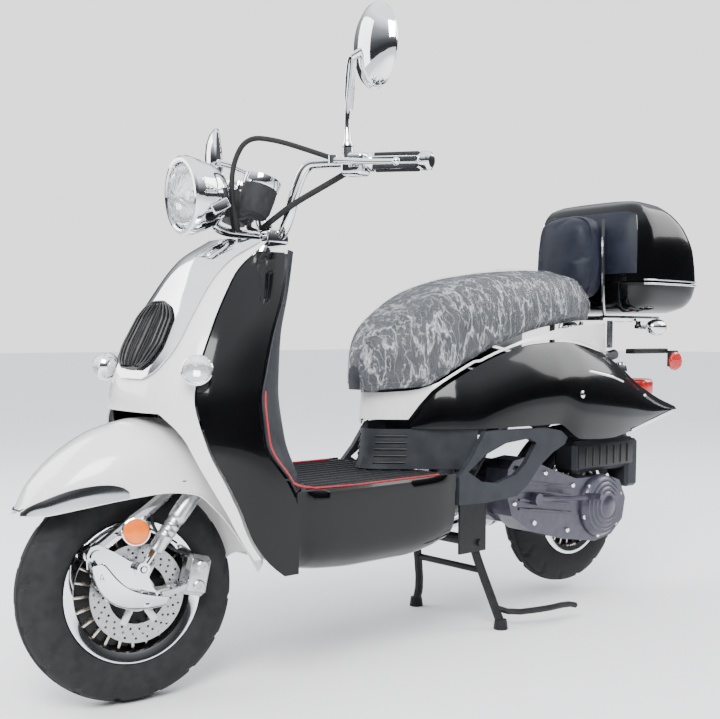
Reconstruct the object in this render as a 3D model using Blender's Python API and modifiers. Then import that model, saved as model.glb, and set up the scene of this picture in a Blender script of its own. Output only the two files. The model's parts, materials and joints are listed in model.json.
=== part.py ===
"""Retro moped scooter on its centre stand, with the steering turned slightly to the rider's right.

Inner design frame, in metres: X to the rider's left, Y to the rear from the front axle, Z up from the ground.
The ROOT empty moves that frame so that the world origin is under the middle of the whole scooter.
"""

import math

import bmesh
import bpy
from mathutils import Matrix, Vector

# ---- driving dimensions -------------------------------------------------------------------------
ROOT_SHIFT = Vector((-0.0131, -0.7501, 0.0008))
WHEELBASE = 1.331
TYRE_RADIUS = 0.215
TYRE_HALF_WIDTH = 0.045
RIM_RADIUS = 0.137
FRONT_AXLE = Vector((0, 0, TYRE_RADIUS))
REAR_AXLE = Vector((0, WHEELBASE, 0.248))
RAKE = math.radians(24.5)
STEER_REST = math.radians(-8.0)
AXIS_FOOT = Vector((0, -0.075, 0))
AXIS_DIR = Vector((0, math.sin(RAKE), math.cos(RAKE)))
LINK_PIVOT = Vector((0, -0.084, 0.296))
SHOCK_TOP = Vector((0.092, 0.128, 0.424))
SHOCK_FOOT = Vector((0.092, -0.003, 0.266))
SWING_PIVOT = Vector((0, 0.870, 0.395))
STAND_PIVOT = Vector((0, 0.866, 0.213))
SEAT_HINGE = Vector((0, 0.575, 0.600))
BAR_START = Vector((0.150, 0.412, 1.041))
BAR_END = Vector((0.352, 0.496, 1.014))
WALL = 0.0025
GAP = 0.0015
SHIELD_POWER = 0.74


# ---- tables read along one axis -------------------------------------------------------------------
# Leg shield: height, nose, half width, rear edge and seam angles of its plan section.
NOSE_Y = ((0.24, 0.010), (0.56, 0.010), (0.64, 0.025), (0.71, 0.058), (0.78, 0.098), (0.85, 0.150),
          (0.895, 0.222))
SHIELD_HALF = ((0.24, 0.200), (0.42, 0.208), (0.58, 0.195), (0.64, 0.183), (0.71, 0.163), (0.78, 0.135),
               (0.85, 0.102), (0.895, 0.078))
REAR_Y = ((0.24, 0.265), (0.36, 0.262), (0.42, 0.235), (0.50, 0.180), (0.58, 0.176), (0.64, 0.196),
          (0.71, 0.228),
          (0.78, 0.272), (0.85, 0.308), (0.895, 0.326))
SEAM_DEG = ((0.24, 85), (0.28, 77), (0.34, 69), (0.48, 59), (0.60, 50), (0.73, 52), (0.82, 57), (0.895, 74))
ARCH_DEG = ((0.28, 73), (0.34, 64), (0.42, 54), (0.50, 44), (0.53, 36), (0.56, 22))
CHROME_DEG = ((0.622, 7), (0.64, 18), (0.68, 28), (0.74, 33), (0.80, 38), (0.85, 48), (0.893, 66))
GRILLE_DEG = ((0.640, 5), (0.655, 12), (0.69, 17), (0.73, 17), (0.755, 11), (0.765, 4))
SHIELD_CENTRE_Y = ((0.40, 0.362), (0.50, 0.335), (0.60, 0.322), (0.70, 0.328), (0.80, 0.356), (0.88, 0.385))
# Along the body: seat underside, top edge of the side cowl, and the cowl's other edges.
SEAT_BOTTOM = ((0.578, 0.580), (0.68, 0.588), (0.76, 0.626), (0.85, 0.666), (0.92, 0.690), (1.0, 0.711),
               (1.075, 0.725), (1.2, 0.739), (1.33, 0.745))
COWL_TOP = ((0.672, 0.500), (0.69, 0.534), (0.714, 0.570), (0.76, 0.608), (0.84, 0.646), (0.90, 0.665),
            (0.99, 0.683), (1.10, 0.688), (1.26, 0.664), (1.36, 0.626), (1.47, 0.572), (1.60, 0.527),
            (1.70, 0.502))
COWL_BOTTOM = ((0.672, 0.495), (1.04, 0.494), (1.13, 0.452), (1.26, 0.446), (1.35, 0.455), (1.47, 0.470),
               (1.70, 0.493))
COWL_TOP_X = ((0.672, 0.074), (0.714, 0.120), (0.76, 0.150), (0.82, 0.164), (0.90, 0.171), (1.10, 0.172),
              (1.26, 0.163),
              (1.47, 0.142), (1.70, 0.105))
COWL_BOTTOM_X = ((0.672, 0.080), (0.714, 0.134), (0.76, 0.176), (0.80, 0.194), (0.90, 0.203), (1.10, 0.205),
                 (1.30, 0.195),
                 (1.47, 0.172), (1.70, 0.112))
COWL_BULGE = ((0.672, 0.002), (0.76, 0.010), (0.95, 0.030), (1.20, 0.034), (1.45, 0.022), (1.70, 0.003))
BAND_HALF = ((0.612, 0.010), (0.63, 0.034), (0.66, 0.064), (0.70, 0.102), (0.73, 0.131), (0.76, 0.150),
             (0.82, 0.164), (0.90, 0.171), (1.10, 0.170), (1.26, 0.155), (1.33, 0.135))
SEAT_TOP = ((0.578, 0.634), (0.585, 0.672), (0.62, 0.720), (0.70, 0.768), (0.815, 0.822), (0.95, 0.853),
            (1.12, 0.870),
            (1.22, 0.862), (1.28, 0.832), (1.298, 0.795))
SEAT_HALF = ((0.578, 0.018), (0.60, 0.048), (0.63, 0.078), (0.66, 0.102), (0.70, 0.128), (0.75, 0.146),
             (0.85, 0.158),
             (0.95, 0.160), (1.12, 0.158), (1.22, 0.145), (1.28, 0.118), (1.298, 0.085))
# Front fender stations: crown y, z, edge y, z, half width.
FENDER = ((-0.203, 0.390, -0.206, 0.378, 0.026), (-0.178, 0.433, -0.176, 0.380, 0.066),
          (-0.120, 0.490, -0.112, 0.391, 0.098), (-0.040, 0.533, -0.040, 0.402, 0.117),
          (0.040, 0.548, 0.036, 0.408, 0.124), (0.120, 0.538, 0.096, 0.400, 0.124),
          (0.190, 0.495, 0.140, 0.365, 0.120),
          (0.236, 0.420, 0.180, 0.318, 0.112), (0.262, 0.335, 0.212, 0.275, 0.100),
          (0.272, 0.255, 0.246, 0.228, 0.080))


def spline(table, x):
    """Smooth interpolation through a table of (position, value)."""
    xs = [row[0] for row in table]
    ys = [row[1] for row in table]
    if x <= xs[0]:
        return ys[0]
    if x >= xs[-1]:
        return ys[-1]
    i = max(k for k in range(len(xs) - 1) if xs[k] <= x)
    span = xs[i + 1] - xs[i]
    t = (x - xs[i]) / span

    def slope(k):
        if k == 0 or k == len(xs) - 1:
            return (ys[1] - ys[0]) / (xs[1] - xs[0]) if k == 0 else (ys[-1] - ys[-2]) / (xs[-1] - xs[-2])
        left = (ys[k] - ys[k - 1]) / (xs[k] - xs[k - 1])
        right = (ys[k + 1] - ys[k]) / (xs[k + 1] - xs[k])
        return 0.0 if left * right <= 0 else 2 * left * right / (left + right)

    m0 = slope(i) * span
    m1 = slope(i + 1) * span
    return ((2 * t**3 - 3 * t**2 + 1) * ys[i] + (t**3 - 2 * t**2 + t) * m0
            + (3 * t**2 - 2 * t**3) * ys[i + 1] + (t**3 - t**2) * m1)


def steps(first, last, count):
    return [first + (last - first) * i / (count - 1) for i in range(count)]


def axis_point(z):
    """The point of the steering axis at this height."""
    return AXIS_FOOT + AXIS_DIR * (z / AXIS_DIR.z)


# ---- scene, materials, parents ---------------------------------------------------------------------
def clear_scene():
    for old in list(bpy.data.objects):
        bpy.data.objects.remove(old, do_unlink=True)


clear_scene()
PARTS = bpy.data.collections.new("moped_scooter")
CUTTERS = bpy.data.collections.new("cutters")
for group in (PARTS, CUTTERS):
    bpy.context.scene.collection.children.link(group)
CUTTERS.hide_render = True


def material(name, colour, roughness, metallic=0.0):
    made = bpy.data.materials.new(name)
    made.use_nodes = True
    shader = made.node_tree.nodes["Principled BSDF"]
    shader.inputs["Base Color"].default_value = (*colour, 1)
    shader.inputs["Roughness"].default_value = roughness
    shader.inputs["Metallic"].default_value = metallic
    return made


WHITE = material("white_paint", (0.82, 0.80, 0.78), 0.2)
BLACK = material("black_paint", (0.008, 0.008, 0.009), 0.08)
GREY = material("grey_plastic", (0.03, 0.033, 0.037), 0.5)
FRAME_PAINT = material("frame_paint", (0.012, 0.012, 0.013), 0.45)
CHROME = material("chrome", (0.78, 0.79, 0.80), 0.06, 1.0)
ALLOY = material("alloy", (0.55, 0.55, 0.54), 0.3, 1.0)
RIM_PAINT = material("rim_alloy", (0.62, 0.58, 0.52), 0.3, 1.0)
RUBBER = material("tyre_rubber", (0.015, 0.015, 0.016), 0.85)
GRIP_RUBBER = material("grip_rubber", (0.02, 0.02, 0.022), 0.7)
VINYL = material("seat_vinyl", (0.03, 0.032, 0.037), 0.5)
CLEAR = material("clear_lens", (0.8, 0.82, 0.85), 0.05)
AMBER = material("amber_lens", (0.8, 0.28, 0.02), 0.15)
RED = material("red_lens", (0.55, 0.02, 0.02), 0.15)
ENGINE = material("engine_paint", (0.07, 0.068, 0.085), 0.4)
STEEL = material("steel", (0.4, 0.4, 0.4), 0.35, 1.0)


def empty(name, parent=None, matrix=None):
    made = bpy.data.objects.new(name, None)
    PARTS.objects.link(made)
    made.parent = parent
    if matrix is not None:
        made.matrix_local = matrix
    return made


ROOT = empty("scooter_origin", matrix=Matrix.Translation(ROOT_SHIFT))
STEERED = empty("steering_axis", ROOT, Matrix.Translation(AXIS_FOOT) @ Matrix.Rotation(STEER_REST, 4,
                                                                                       AXIS_DIR)
                @ Matrix.Translation(-AXIS_FOOT))


# ---- modelling helpers -----------------------------------------------------------------------------
def add(name, mesh, parent=None):
    made = bpy.data.objects.new(name, mesh)
    PARTS.objects.link(made)
    made.parent = parent
    return made


def tidy(mesh, merge=1e-6):
    """Welds a mesh and turns its faces outwards."""
    work = bmesh.new()
    work.from_mesh(mesh)
    bmesh.ops.remove_doubles(work, verts=work.verts, dist=merge)
    bmesh.ops.recalc_face_normals(work, faces=work.faces)
    work.to_mesh(mesh)
    work.free()


def bake(made):
    """The object with its modifiers, or its curve, made into a plain closed mesh."""
    bpy.context.view_layer.update()
    graph = bpy.context.evaluated_depsgraph_get()
    mesh = bpy.data.meshes.new_from_object(made.evaluated_get(graph))
    tidy(mesh)
    name = made.name
    parent = made.parent
    local = made.matrix_local.copy()
    bpy.data.objects.remove(made)
    fresh = add(name, mesh, parent)
    fresh.matrix_local = local
    return fresh


def place(made, location=(0, 0, 0), direction=None):
    """Moves a shape that was made along +Z so that it points along the direction."""
    turn = Matrix.Identity(4)
    if direction is not None:
        turn = Vector((0, 0, 1)).rotation_difference(Vector(direction)).to_matrix().to_4x4()
    made.matrix_local = Matrix.Translation(Vector(location)) @ turn
    return made


def box(name, size, location, bevel=0.0, turn=None, segments=1):
    mesh = bpy.data.meshes.new(name)
    work = bmesh.new()
    bmesh.ops.create_cube(work, size=1.0, matrix=Matrix.Diagonal((*size, 1)))
    if bevel:
        bmesh.ops.bevel(work, geom=work.edges[:], offset=bevel, segments=segments, affect="EDGES",
                        profile=0.5)
    work.to_mesh(mesh)
    work.free()
    made = add(name, mesh)
    made.matrix_local = Matrix.Translation(Vector(location)) @ (turn or Matrix.Identity(4))
    return made


def rod(name, start, end, radius, end_radius=None, sides=12):
    """A closed cylinder or cone between two points."""
    start, end = Vector(start), Vector(end)
    mesh = bpy.data.meshes.new(name)
    work = bmesh.new()
    bmesh.ops.create_cone(work, cap_ends=True, segments=sides, radius1=radius,
                          radius2=radius if end_radius is None else end_radius, depth=(end - start).length)
    work.to_mesh(mesh)
    work.free()
    return place(add(name, mesh), (start + end) / 2, end - start)


def ball(name, centre, size, rings=8, segments=12):
    mesh = bpy.data.meshes.new(name)
    work = bmesh.new()
    bmesh.ops.create_uvsphere(work, u_segments=segments, v_segments=rings, radius=1.0)
    bmesh.ops.scale(work, verts=work.verts, vec=size)
    work.to_mesh(mesh)
    work.free()
    return place(add(name, mesh), centre)


def tube(name, points, radius, smooth=2, sides=2):
    """A bent tube: a poly curve through points rounded off by corner cutting."""
    path = [Vector(p) for p in points]
    for _ in range(smooth):
        cut = [path[0]]
        for a, b in zip(path, path[1:]):
            cut += [a.lerp(b, 0.25), a.lerp(b, 0.75)]
        path = cut + [path[-1]]
    curve = bpy.data.curves.new(name, "CURVE")
    curve.dimensions = "3D"
    curve.bevel_depth = radius
    curve.bevel_resolution = sides
    curve.use_fill_caps = True
    line = curve.splines.new("POLY")
    line.points.add(len(path) - 1)
    for spot, p in zip(line.points, path):
        spot.co = (*p, 1)
    made = bpy.data.objects.new(name, curve)
    PARTS.objects.link(made)
    return bake(made)


def turned(name, profile, centre, direction, count=24, closed=False):
    """A shape turned about the direction. The profile is (radius, distance along the axis)."""
    mesh = bpy.data.meshes.new(name)
    last = len(profile) - 1
    links = [(i, i + 1) for i in range(last)] + ([(last, 0)] if closed else [])
    links = [(i, j) for i, j in links if profile[i][0] or profile[j][0]]
    mesh.from_pydata([(r, 0, a) for r, a in profile], links, [])
    made = add(name, mesh)
    turn = made.modifiers.new("turn", "SCREW")
    turn.axis = "Z"
    turn.steps = turn.render_steps = count
    turn.use_merge_vertices = True
    turn.merge_threshold = 1e-5
    return place(bake(made), centre, direction)


def plate(name, outline, low, high, holes=(), bevel=0.0):
    """A flat outline of (y, z) points, standing in the YZ plane between two x values."""
    curve = bpy.data.curves.new(name, "CURVE")
    curve.dimensions = "2D"
    curve.fill_mode = "BOTH"
    curve.extrude = (high - low) / 2 - bevel
    curve.bevel_depth = bevel
    curve.bevel_resolution = 0
    curve.offset = -bevel
    for loop in (outline, *holes):
        line = curve.splines.new("POLY")
        line.points.add(len(loop) - 1)
        for spot, (u, v) in zip(line.points, loop):
            spot.co = (u, v, 0, 1)
        line.use_cyclic_u = True
    made = bpy.data.objects.new(name, curve)
    PARTS.objects.link(made)
    turn = Matrix(((0, 0, 1), (1, 0, 0), (0, 1, 0))).to_4x4()
    made.matrix_local = Matrix.Translation(((low + high) / 2, 0, 0)) @ turn
    return bake(made)


def loft(name, rings):
    """A closed solid through rings of equal length, capped at both ends."""
    mesh = bpy.data.meshes.new(name)
    size = len(rings[0])
    points = [p for ring in rings for p in ring]
    faces = [tuple(range(size)), tuple(range((len(rings) - 1) * size, len(rings) * size))]
    for r in range(len(rings) - 1):
        for i in range(size):
            j = (i + 1) % size
            faces.append((r * size + i, r * size + j, (r + 1) * size + j, (r + 1) * size + i))
    mesh.from_pydata(points, [], faces)
    tidy(mesh)
    return add(name, mesh)


def shell(name, rows, thickness=WALL, keep=None, round_rows=False, outward=1):
    """An open sheet through rows of points, given a wall. keep(r, c) says which of its faces there are."""
    mesh = bpy.data.meshes.new(name)
    width = len(rows[0])
    points = [p for row in rows for p in row]
    faces = []
    for r in range(len(rows) - 1):
        for c in range(width if round_rows else width - 1):
            d = (c + 1) % width
            if keep is None or keep(r, c):
                faces.append((r * width + c, r * width + d, (r + 1) * width + d, (r + 1) * width + c))
    mesh.from_pydata(points, [], faces)
    work = bmesh.new()
    work.from_mesh(mesh)
    loose = [v for v in work.verts if not v.link_faces]
    bmesh.ops.delete(work, geom=loose, context="VERTS")
    bmesh.ops.remove_doubles(work, verts=work.verts, dist=1e-5)
    work.to_mesh(mesh)
    work.free()
    made = add(name, mesh)
    wall = made.modifiers.new("wall", "SOLIDIFY")
    wall.thickness = thickness
    wall.offset = -outward
    return bake(made)


def combine(target, *others, operation="UNION"):
    """Joins the others to the target, or cuts them out of it."""
    for other in others:
        step = target.modifiers.new("step", "BOOLEAN")
        step.operation = operation
        step.solver = "EXACT"
        step.object = other
    made = bake(target)
    for other in others:
        bpy.data.objects.remove(other)
    return made


def finish(made, name, finish_material, parent=ROOT, angle=40):
    """Names a finished piece, gives it its material and its parent."""
    made.name = name
    made.data.materials.clear()
    made.data.materials.append(finish_material)
    made.parent = parent
    made.data.shade_smooth()
    made.data.set_sharp_from_angle(angle=math.radians(angle))
    return made


def other_side(points):
    return [(-p[0], p[1], p[2]) for p in points]


def both(make):
    """Calls make(name ending, side) for the left and the right side."""
    for ending, side in (("left", 1), ("right", -1)):
        make(ending, side)


# ---- leg shield, cowls and floor ---------------------------------------------------------------------
def shield_point(z, degrees, out=0.0):
    """A point of the leg shield's outer surface, pushed out along its normal."""
    def raw(zz, deg):
        angle = math.radians(min(abs(deg), 90))
        nose, rear = spline(NOSE_Y, zz), spline(REAR_Y, zz)
        x = spline(SHIELD_HALF, zz) * math.sin(angle) ** SHIELD_POWER * math.copysign(1, deg)
        return Vector((x, nose + (rear - nose) * (1 - max(math.cos(angle), 0) ** SHIELD_POWER), zz))

    spot = raw(z, degrees)
    if out:
        at = max(min(degrees, 88), -88)
        across = raw(z, at + 1) - raw(z, at - 1)
        along = raw(z + 0.005, at) - raw(z - 0.005, at)
        spot = spot + across.cross(along).normalized() * out
    return spot


def make_front_cowl():
    arch_rows = [0.28, 0.34, 0.42, 0.48, 0.53, 0.56]
    heights = arch_rows + [0.60, 0.64, 0.69, 0.74, 0.79, 0.84, 0.87, 0.893]
    shares = (1.0, 0.75, 0.5, 0.25)
    rows = []
    for z in heights:
        seam = spline(SEAM_DEG, z) - 0.5
        arch = spline(ARCH_DEG, z) if z <= 0.56 else spline(ARCH_DEG,
                                                            0.56) * seam / (spline(SEAM_DEG, 0.56) - 0.5)
        outer = [arch + (seam - arch) * s for s in (1.0, 0.5, 0.0)]
        inner = [arch * s for s in shares[1:]]
        half = outer + inner
        rows.append([shield_point(z, a) for a in half] + [shield_point(z, 0.0)]
                    + [shield_point(z, -a) for a in reversed(half)])
    last = len(rows[0]) - 2
    made = shell("cowl", rows, WALL, keep=lambda r, c: r >= len(arch_rows) - 1 or c < 2 or c > last - 2,
                 outward=-1)
    finish(made, "front_cowl", WHITE)


def make_leg_panel(ending, side):
    rows = []
    for z in (0.24, 0.28, 0.34, 0.42, 0.50, 0.58, 0.66, 0.74, 0.80, 0.845, 0.872):
        seam = spline(SEAM_DEG, z) + 1.2
        row = [shield_point(z, side * a) for a in steps(seam, 90, 6)]
        edge = row[-1]
        row.append(edge + Vector((-0.014 * side, 0.005, 0)))
        rows.append(row)
    finish(shell("panel", rows, WALL, outward=side), f"leg_panel_{ending}", BLACK)


def inner_shield_y(x, z, extra=0.0):
    half = spline(SHIELD_HALF, z) - 0.004
    rear = spline(REAR_Y, z) + 0.010
    share = min(abs(x) / half, 1.0)
    return rear + (spline(SHIELD_CENTRE_Y, z) - rear) * (1 - share**2.2) + extra


def make_inner_shield():
    rows = []
    for z in (0.402, 0.45, 0.52, 0.60, 0.68, 0.76, 0.83, 0.878):
        half = spline(SHIELD_HALF, z) - 0.004
        rows.append([Vector((x, inner_shield_y(x, z), z)) for x in steps(-half, half, 9)])
    finish(shell("inner", rows, WALL, outward=1), "inner_leg_shield", GREY)


def make_chrome_trim():
    rows = []
    for z in (0.622, 0.64, 0.67, 0.71, 0.75, 0.80, 0.84, 0.87, 0.893):
        edge = spline(CHROME_DEG, z)
        rows.append([shield_point(z, a, 0.0062) for a in steps(edge, -edge, 7)])
    finish(shell("trim", rows, 0.003, outward=-1), "chrome_front_trim", CHROME)


def make_grille():
    rows = []
    for z in (0.640, 0.655, 0.69, 0.73, 0.755, 0.765):
        edge = spline(GRILLE_DEG, z)
        rows.append([shield_point(z, a, 0.0105) for a in steps(edge, -edge, 7)])
    finish(shell("grille", rows, 0.003, outward=-1), "grille", GREY)


def make_front_signal(ending, side):
    spot = shield_point(0.632, side * 51)
    facing = (shield_point(0.632, side * 51, 0.01) - spot).normalized()
    profile = ((0, 0.040), (0.014, 0.036), (0.024, 0.026), (0.029, 0.012), (0.027, 0.000), (0.018, -0.010),
               (0.012, -0.013), (0, -0.013))
    made = turned("signal", profile, spot + facing * 0.018, facing, 14)
    finish(made, f"front_signal_{ending}", CHROME)


def make_floorboard():
    xs = steps(-0.200, 0.200, 11)
    front = [(x, inner_shield_y(x, 0.402, 0.004)) for x in xs]
    outline = front + [(0.208, 0.42), (0.205, 0.700), (-0.205, 0.700), (-0.208, 0.42)]
    rings = [[Vector((x, y, z)) for x, y in outline] for z in (0.368, 0.398)]
    finish(loft("floor", rings), "floorboard", GREY, angle=30)


BELLY = ((0.275, 0.362, 0.258, 0.199), (0.30, 0.362, 0.236, 0.203), (0.36, 0.362, 0.224, 0.205),
         (0.45, 0.362, 0.218, 0.205), (0.58, 0.362, 0.218, 0.204), (0.65, 0.361, 0.226, 0.202),
         (0.695, 0.358, 0.240, 0.198))


def make_belly_pan():
    rows = []
    for y, top, foot, half in BELLY:
        left = [Vector((half, y, top)), Vector((half * 0.985, y, (top + foot) / 2)),
                Vector((half * 0.93, y, foot + 0.018)),
                Vector((half * 0.78, y, foot))]
        rows.append(left + [Vector((0, y, foot - 0.0))] + other_side(left[::-1]))
    made = shell("belly", rows, 0.003, outward=-1)
    finish(made, "belly_pan", BLACK)


def vent_point(share, z):
    """A point of the grey panel between the floor and the white band, share 0 at the nose, 1 at its rear end."""
    y = 0.614 + 0.172 * share - 0.016 * ((0.493 - z) / 0.091) ** 2 * (1 - share)
    return Vector((spline(VENT_HALF, 0.614 + 0.172 * share), y, z))


VENT_HALF = ((0.614, 0.0), (0.622, 0.024), (0.66, 0.064), (0.70, 0.104), (0.73, 0.134), (0.76, 0.164),
             (0.786, 0.188))


def make_under_seat_panel():
    rows = []
    for z in (0.402, 0.43, 0.46, 0.493):
        left = [vent_point(share, z) for share in (1, 0.85, 0.68, 0.5, 0.28, 0.1)]
        rows.append(left + [vent_point(0, z)] + [Vector((-p.x, p.y, p.z)) for p in reversed(left)])
    finish(shell("vent", rows, WALL, outward=1), "under_seat_panel", GREY)


SKIRT = ((0.706, 0.330), (0.706, 0.392), (0.745, 0.430), (0.790, 0.488), (0.82, 0.490), (1.00, 0.486),
         (1.06, 0.476), (1.085, 0.458), (1.075, 0.442), (1.03, 0.425), (0.985, 0.398), (0.935, 0.352),
         (0.90, 0.332), (0.80, 0.326))
SKIRT_HOLE = ((0.735, 0.402), (0.79, 0.436), (0.86, 0.458), (0.94, 0.464), (0.968, 0.452), (0.93, 0.405),
              (0.895, 0.382), (0.83, 0.368), (0.78, 0.376))


def make_side_skirt(ending, side):
    low, high = sorted((0.196 * side, 0.209 * side))
    made = plate("skirt", SKIRT, low, high, holes=(SKIRT_HOLE,))
    finish(made, f"side_skirt_{ending}", GREY, angle=30)


def band_point(y, share):
    """A point of the white band between the side cowl and the seat, share 0 at its lower edge."""
    low = spline(COWL_TOP, y) + (0.008 if y > 0.80 else 0.014) if y > 0.68 else 0.515
    high = spline(SEAT_BOTTOM, y) - 0.007
    if y < 0.728:
        low = min(low, high - 0.005)
    return Vector((spline(BAND_HALF, y) + 0.004 * (1 - share), y, low + max(high - low, 0.004) * share))


def make_seat_cowl():
    ys = [1.32, 1.20, 1.06, 0.92, 0.84, 0.78, 0.74, 0.724, 0.71, 0.69, 0.672, 0.65, 0.632, 0.618]
    rows = []
    for share in (0.0, 0.5, 1.0):
        left = [band_point(y, share) for y in ys]
        nose = Vector((0, 0.612, left[-1].z))
        rows.append(left + [nose] + [Vector((-p.x, p.y, p.z)) for p in reversed(left)])
    finish(shell("band", rows, WALL, outward=1), "seat_cowl", WHITE)


def cowl_point(y, share, side):
    bottom = Vector((spline(COWL_BOTTOM_X, y), y, spline(COWL_BOTTOM, y)))
    top = Vector((spline(COWL_TOP_X, y), y, spline(COWL_TOP, y)))
    spot = bottom.lerp(top, share)
    spot.x += spline(COWL_BULGE, y) * math.sin(math.pi * min(share * 0.94 + 0.06, 1.0)) ** 0.8
    spot.x *= side
    return spot


def make_side_cowl(ending, side):
    ys = (0.676, 0.70, 0.74, 0.79, 0.86, 0.95, 1.04, 1.12, 1.22, 1.34, 1.46, 1.58, 1.70)
    rows = [[cowl_point(y, share, side) for share in (0, 0.2, 0.4, 0.6, 0.8, 0.94, 1)] for y in ys]
    finish(shell("cowl", rows, WALL, outward=side), f"side_cowl_{ending}", BLACK)


def make_rear_fender():
    rows = []
    for deg in (132, 115, 92, 70, 45, 22):
        angle = math.radians(deg)
        reach = 0.285 + (0.02 if 60 < deg < 150 else 0.0)
        arc = []
        for x, drop in ((0.072, 0.035), (0.055, 0.004), (-0.055, 0.004), (-0.072, 0.035)):
            r = reach - drop
            arc.append(Vector((x, REAR_AXLE.y + r * math.cos(angle), REAR_AXLE.z + r * math.sin(angle))))
        rows.append(arc)
    finish(shell("mudguard", rows, WALL, outward=1), "rear_fender", GREY)


def make_tail_light():
    made = box("lamp", (0.11, 0.05, 0.05), (0, 1.655, 0.555), 0.012, segments=2)
    finish(made, "tail_light", RED)


def make_tail_signal(ending, side):
    profile = ((0, 0.040), (0.014, 0.034), (0.021, 0.020), (0.022, -0.005), (0.017, -0.022),
               (0.008, -0.030), (0, -0.032))
    made = turned("signal", profile, (0.150 * side, 1.535, 0.728), (0, 1, 0), 16)
    stalk = rod("stalk", (0.112 * side, 1.53, 0.728), (0.140 * side, 1.53, 0.728), 0.006, sides=8)
    finish(combine(made, stalk), f"tail_signal_{ending}", CHROME)


# ---- frame, seat, storage, trunk -------------------------------------------------------------------
def make_frame():
    head = rod("head", axis_point(0.60), axis_point(0.80), 0.027, sides=16)
    down = tube("down", ((0, 0.232, 0.66), (0, 0.268, 0.52), (0, 0.325, 0.40), (0, 0.345, 0.265),
                         (0, 0.42, 0.262)), 0.018, smooth=1)
    pieces = [down, rod("cross_e", (-0.116, 0.878, 0.432), (0.116, 0.878, 0.432), 0.009, sides=8),
              rod("cross_a", (-0.125, 0.41, 0.262), (0.125, 0.41, 0.262), 0.013, sides=8),
              rod("cross_b", (-0.123, 0.68, 0.262), (0.123, 0.68, 0.262), 0.012, sides=8),
              rod("cross_c", (-0.110, 1.12, 0.606), (0.110, 1.12, 0.606), 0.011, sides=8),
              rod("cross_d", (-0.100, 1.400, 0.650), (0.100, 1.400, 0.650), 0.011, sides=8)]
    for side in (1, -1):
        rail = ((0.12 * side, 0.40, 0.262), (0.12 * side, 0.72, 0.262), (0.12 * side, 0.82, 0.36),
                (0.116 * side, 0.95, 0.52), (0.11 * side, 1.10, 0.60), (0.10 * side, 1.42, 0.655))
        pieces.append(tube("rail", rail, 0.014, smooth=1))
        pieces.append(box("ear", (0.006, 0.09, 0.13), (0.1185 * side, 0.845, 0.257)))
        pieces.append(box("hanger", (0.005, 0.044, 0.062), (0.0555 * side, 0.874, 0.408)))
    made = combine(head, *pieces)
    bore = rod("bore", axis_point(0.55), axis_point(0.85), 0.0180, sides=16)
    pivots = rod("pivots", (-0.2, STAND_PIVOT.y, STAND_PIVOT.z), (0.2, STAND_PIVOT.y, STAND_PIVOT.z),
                 0.0085, sides=12)
    swing = rod("swing", (-0.07, SWING_PIVOT.y, SWING_PIVOT.z), (0.07, SWING_PIVOT.y, SWING_PIVOT.z),
                0.0104, sides=14)
    finish(combine(made, bore, pivots, swing, operation="DIFFERENCE"), "frame", FRAME_PAINT)


def make_storage_bucket():
    rings = []
    for z, grow in ((0.585, 0.0), (0.52, -0.006), (0.465, -0.014)):
        half, low, high = 0.092 + grow, 0.722 - grow, 1.045 + grow
        ring = [Vector((half * a, (low + high) / 2 + (high - low) / 2 * b, z))
                for a, b in ((1, 0.8), (0.8, 1), (-0.8, 1), (-1, 0.8), (-1, -0.8), (-0.8, -1), (0.8, -1),
                             (1, -0.8))]
        rings.append(ring)
    centre = [Vector((0, 0.855, 0.465))] * 8
    made = shell("bucket", rings + [centre], 0.003, round_rows=True, outward=-1)
    finish(made, "storage_bucket", GREY)


def seat_ring(y):
    low = spline(SEAT_BOTTOM, y) + 0.003
    top = spline(SEAT_TOP, y)
    half = spline(SEAT_HALF, y)
    ring = []
    for deg in range(0, 181, 20):
        angle = math.radians(deg)
        ring.append(Vector((half * math.copysign(abs(math.cos(angle)) ** 0.55, math.cos(angle)), y,
                            low + 0.02 + (top - low - 0.02) * math.sin(angle) ** 0.75)))
    return ring + [Vector((-half * 0.93, y, low)), Vector((half * 0.93, y, low))]


def make_seat():
    rings = [seat_ring(y) for y in (0.578, 0.590, 0.615, 0.65, 0.70, 0.78, 0.90, 1.03, 1.15, 1.24, 1.28,
                                    1.298)]
    finish(loft("seat", rings), "seat", VINYL)


TRUNK_SPLIT = 0.848
TRUNK_LEVELS = ((0.768, 1.435, 1.640, 0.140), (0.785, 1.412, 1.692, 0.166), (0.815, 1.405, 1.712, 0.181),
                (0.847, 1.402, 1.716, 0.187), (0.849, 1.402, 1.716, 0.187), (0.93, 1.404, 1.702, 0.186),
                (0.99, 1.408, 1.664, 0.180), (1.03, 1.416, 1.612, 0.168), (1.055, 1.430, 1.560, 0.148),
                (1.066, 1.452, 1.525, 0.118))


def trunk_ring(level, grow=0.0):
    z, front, rear, half = level
    middle, reach = (front + rear) / 2, (rear - front) / 2
    ring = []
    for i in range(16):
        angle = 2 * math.pi * (i + 0.5) / 16
        c, s = math.cos(angle), math.sin(angle)
        ring.append(Vector(((half + grow) * math.copysign(abs(c) ** 0.36, c),
                            middle + (reach + grow) * math.copysign(abs(s) ** 0.36, s), z)))
    return ring


def make_trunk():
    base = [trunk_ring(level) for level in TRUNK_LEVELS[:4]]
    floor = [sum(base[0], Vector()) / len(base[0])] * len(base[0])
    finish(shell("base", [floor] + base, 0.003, round_rows=True, outward=1), "trunk_base", BLACK)
    lid = [trunk_ring(level) for level in TRUNK_LEVELS[4:]]
    top = [sum(lid[-1], Vector()) / len(lid[-1])] * len(lid[-1])
    finish(shell("lid", lid + [top], 0.003, round_rows=True, outward=1), "trunk_lid", BLACK)


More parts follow.
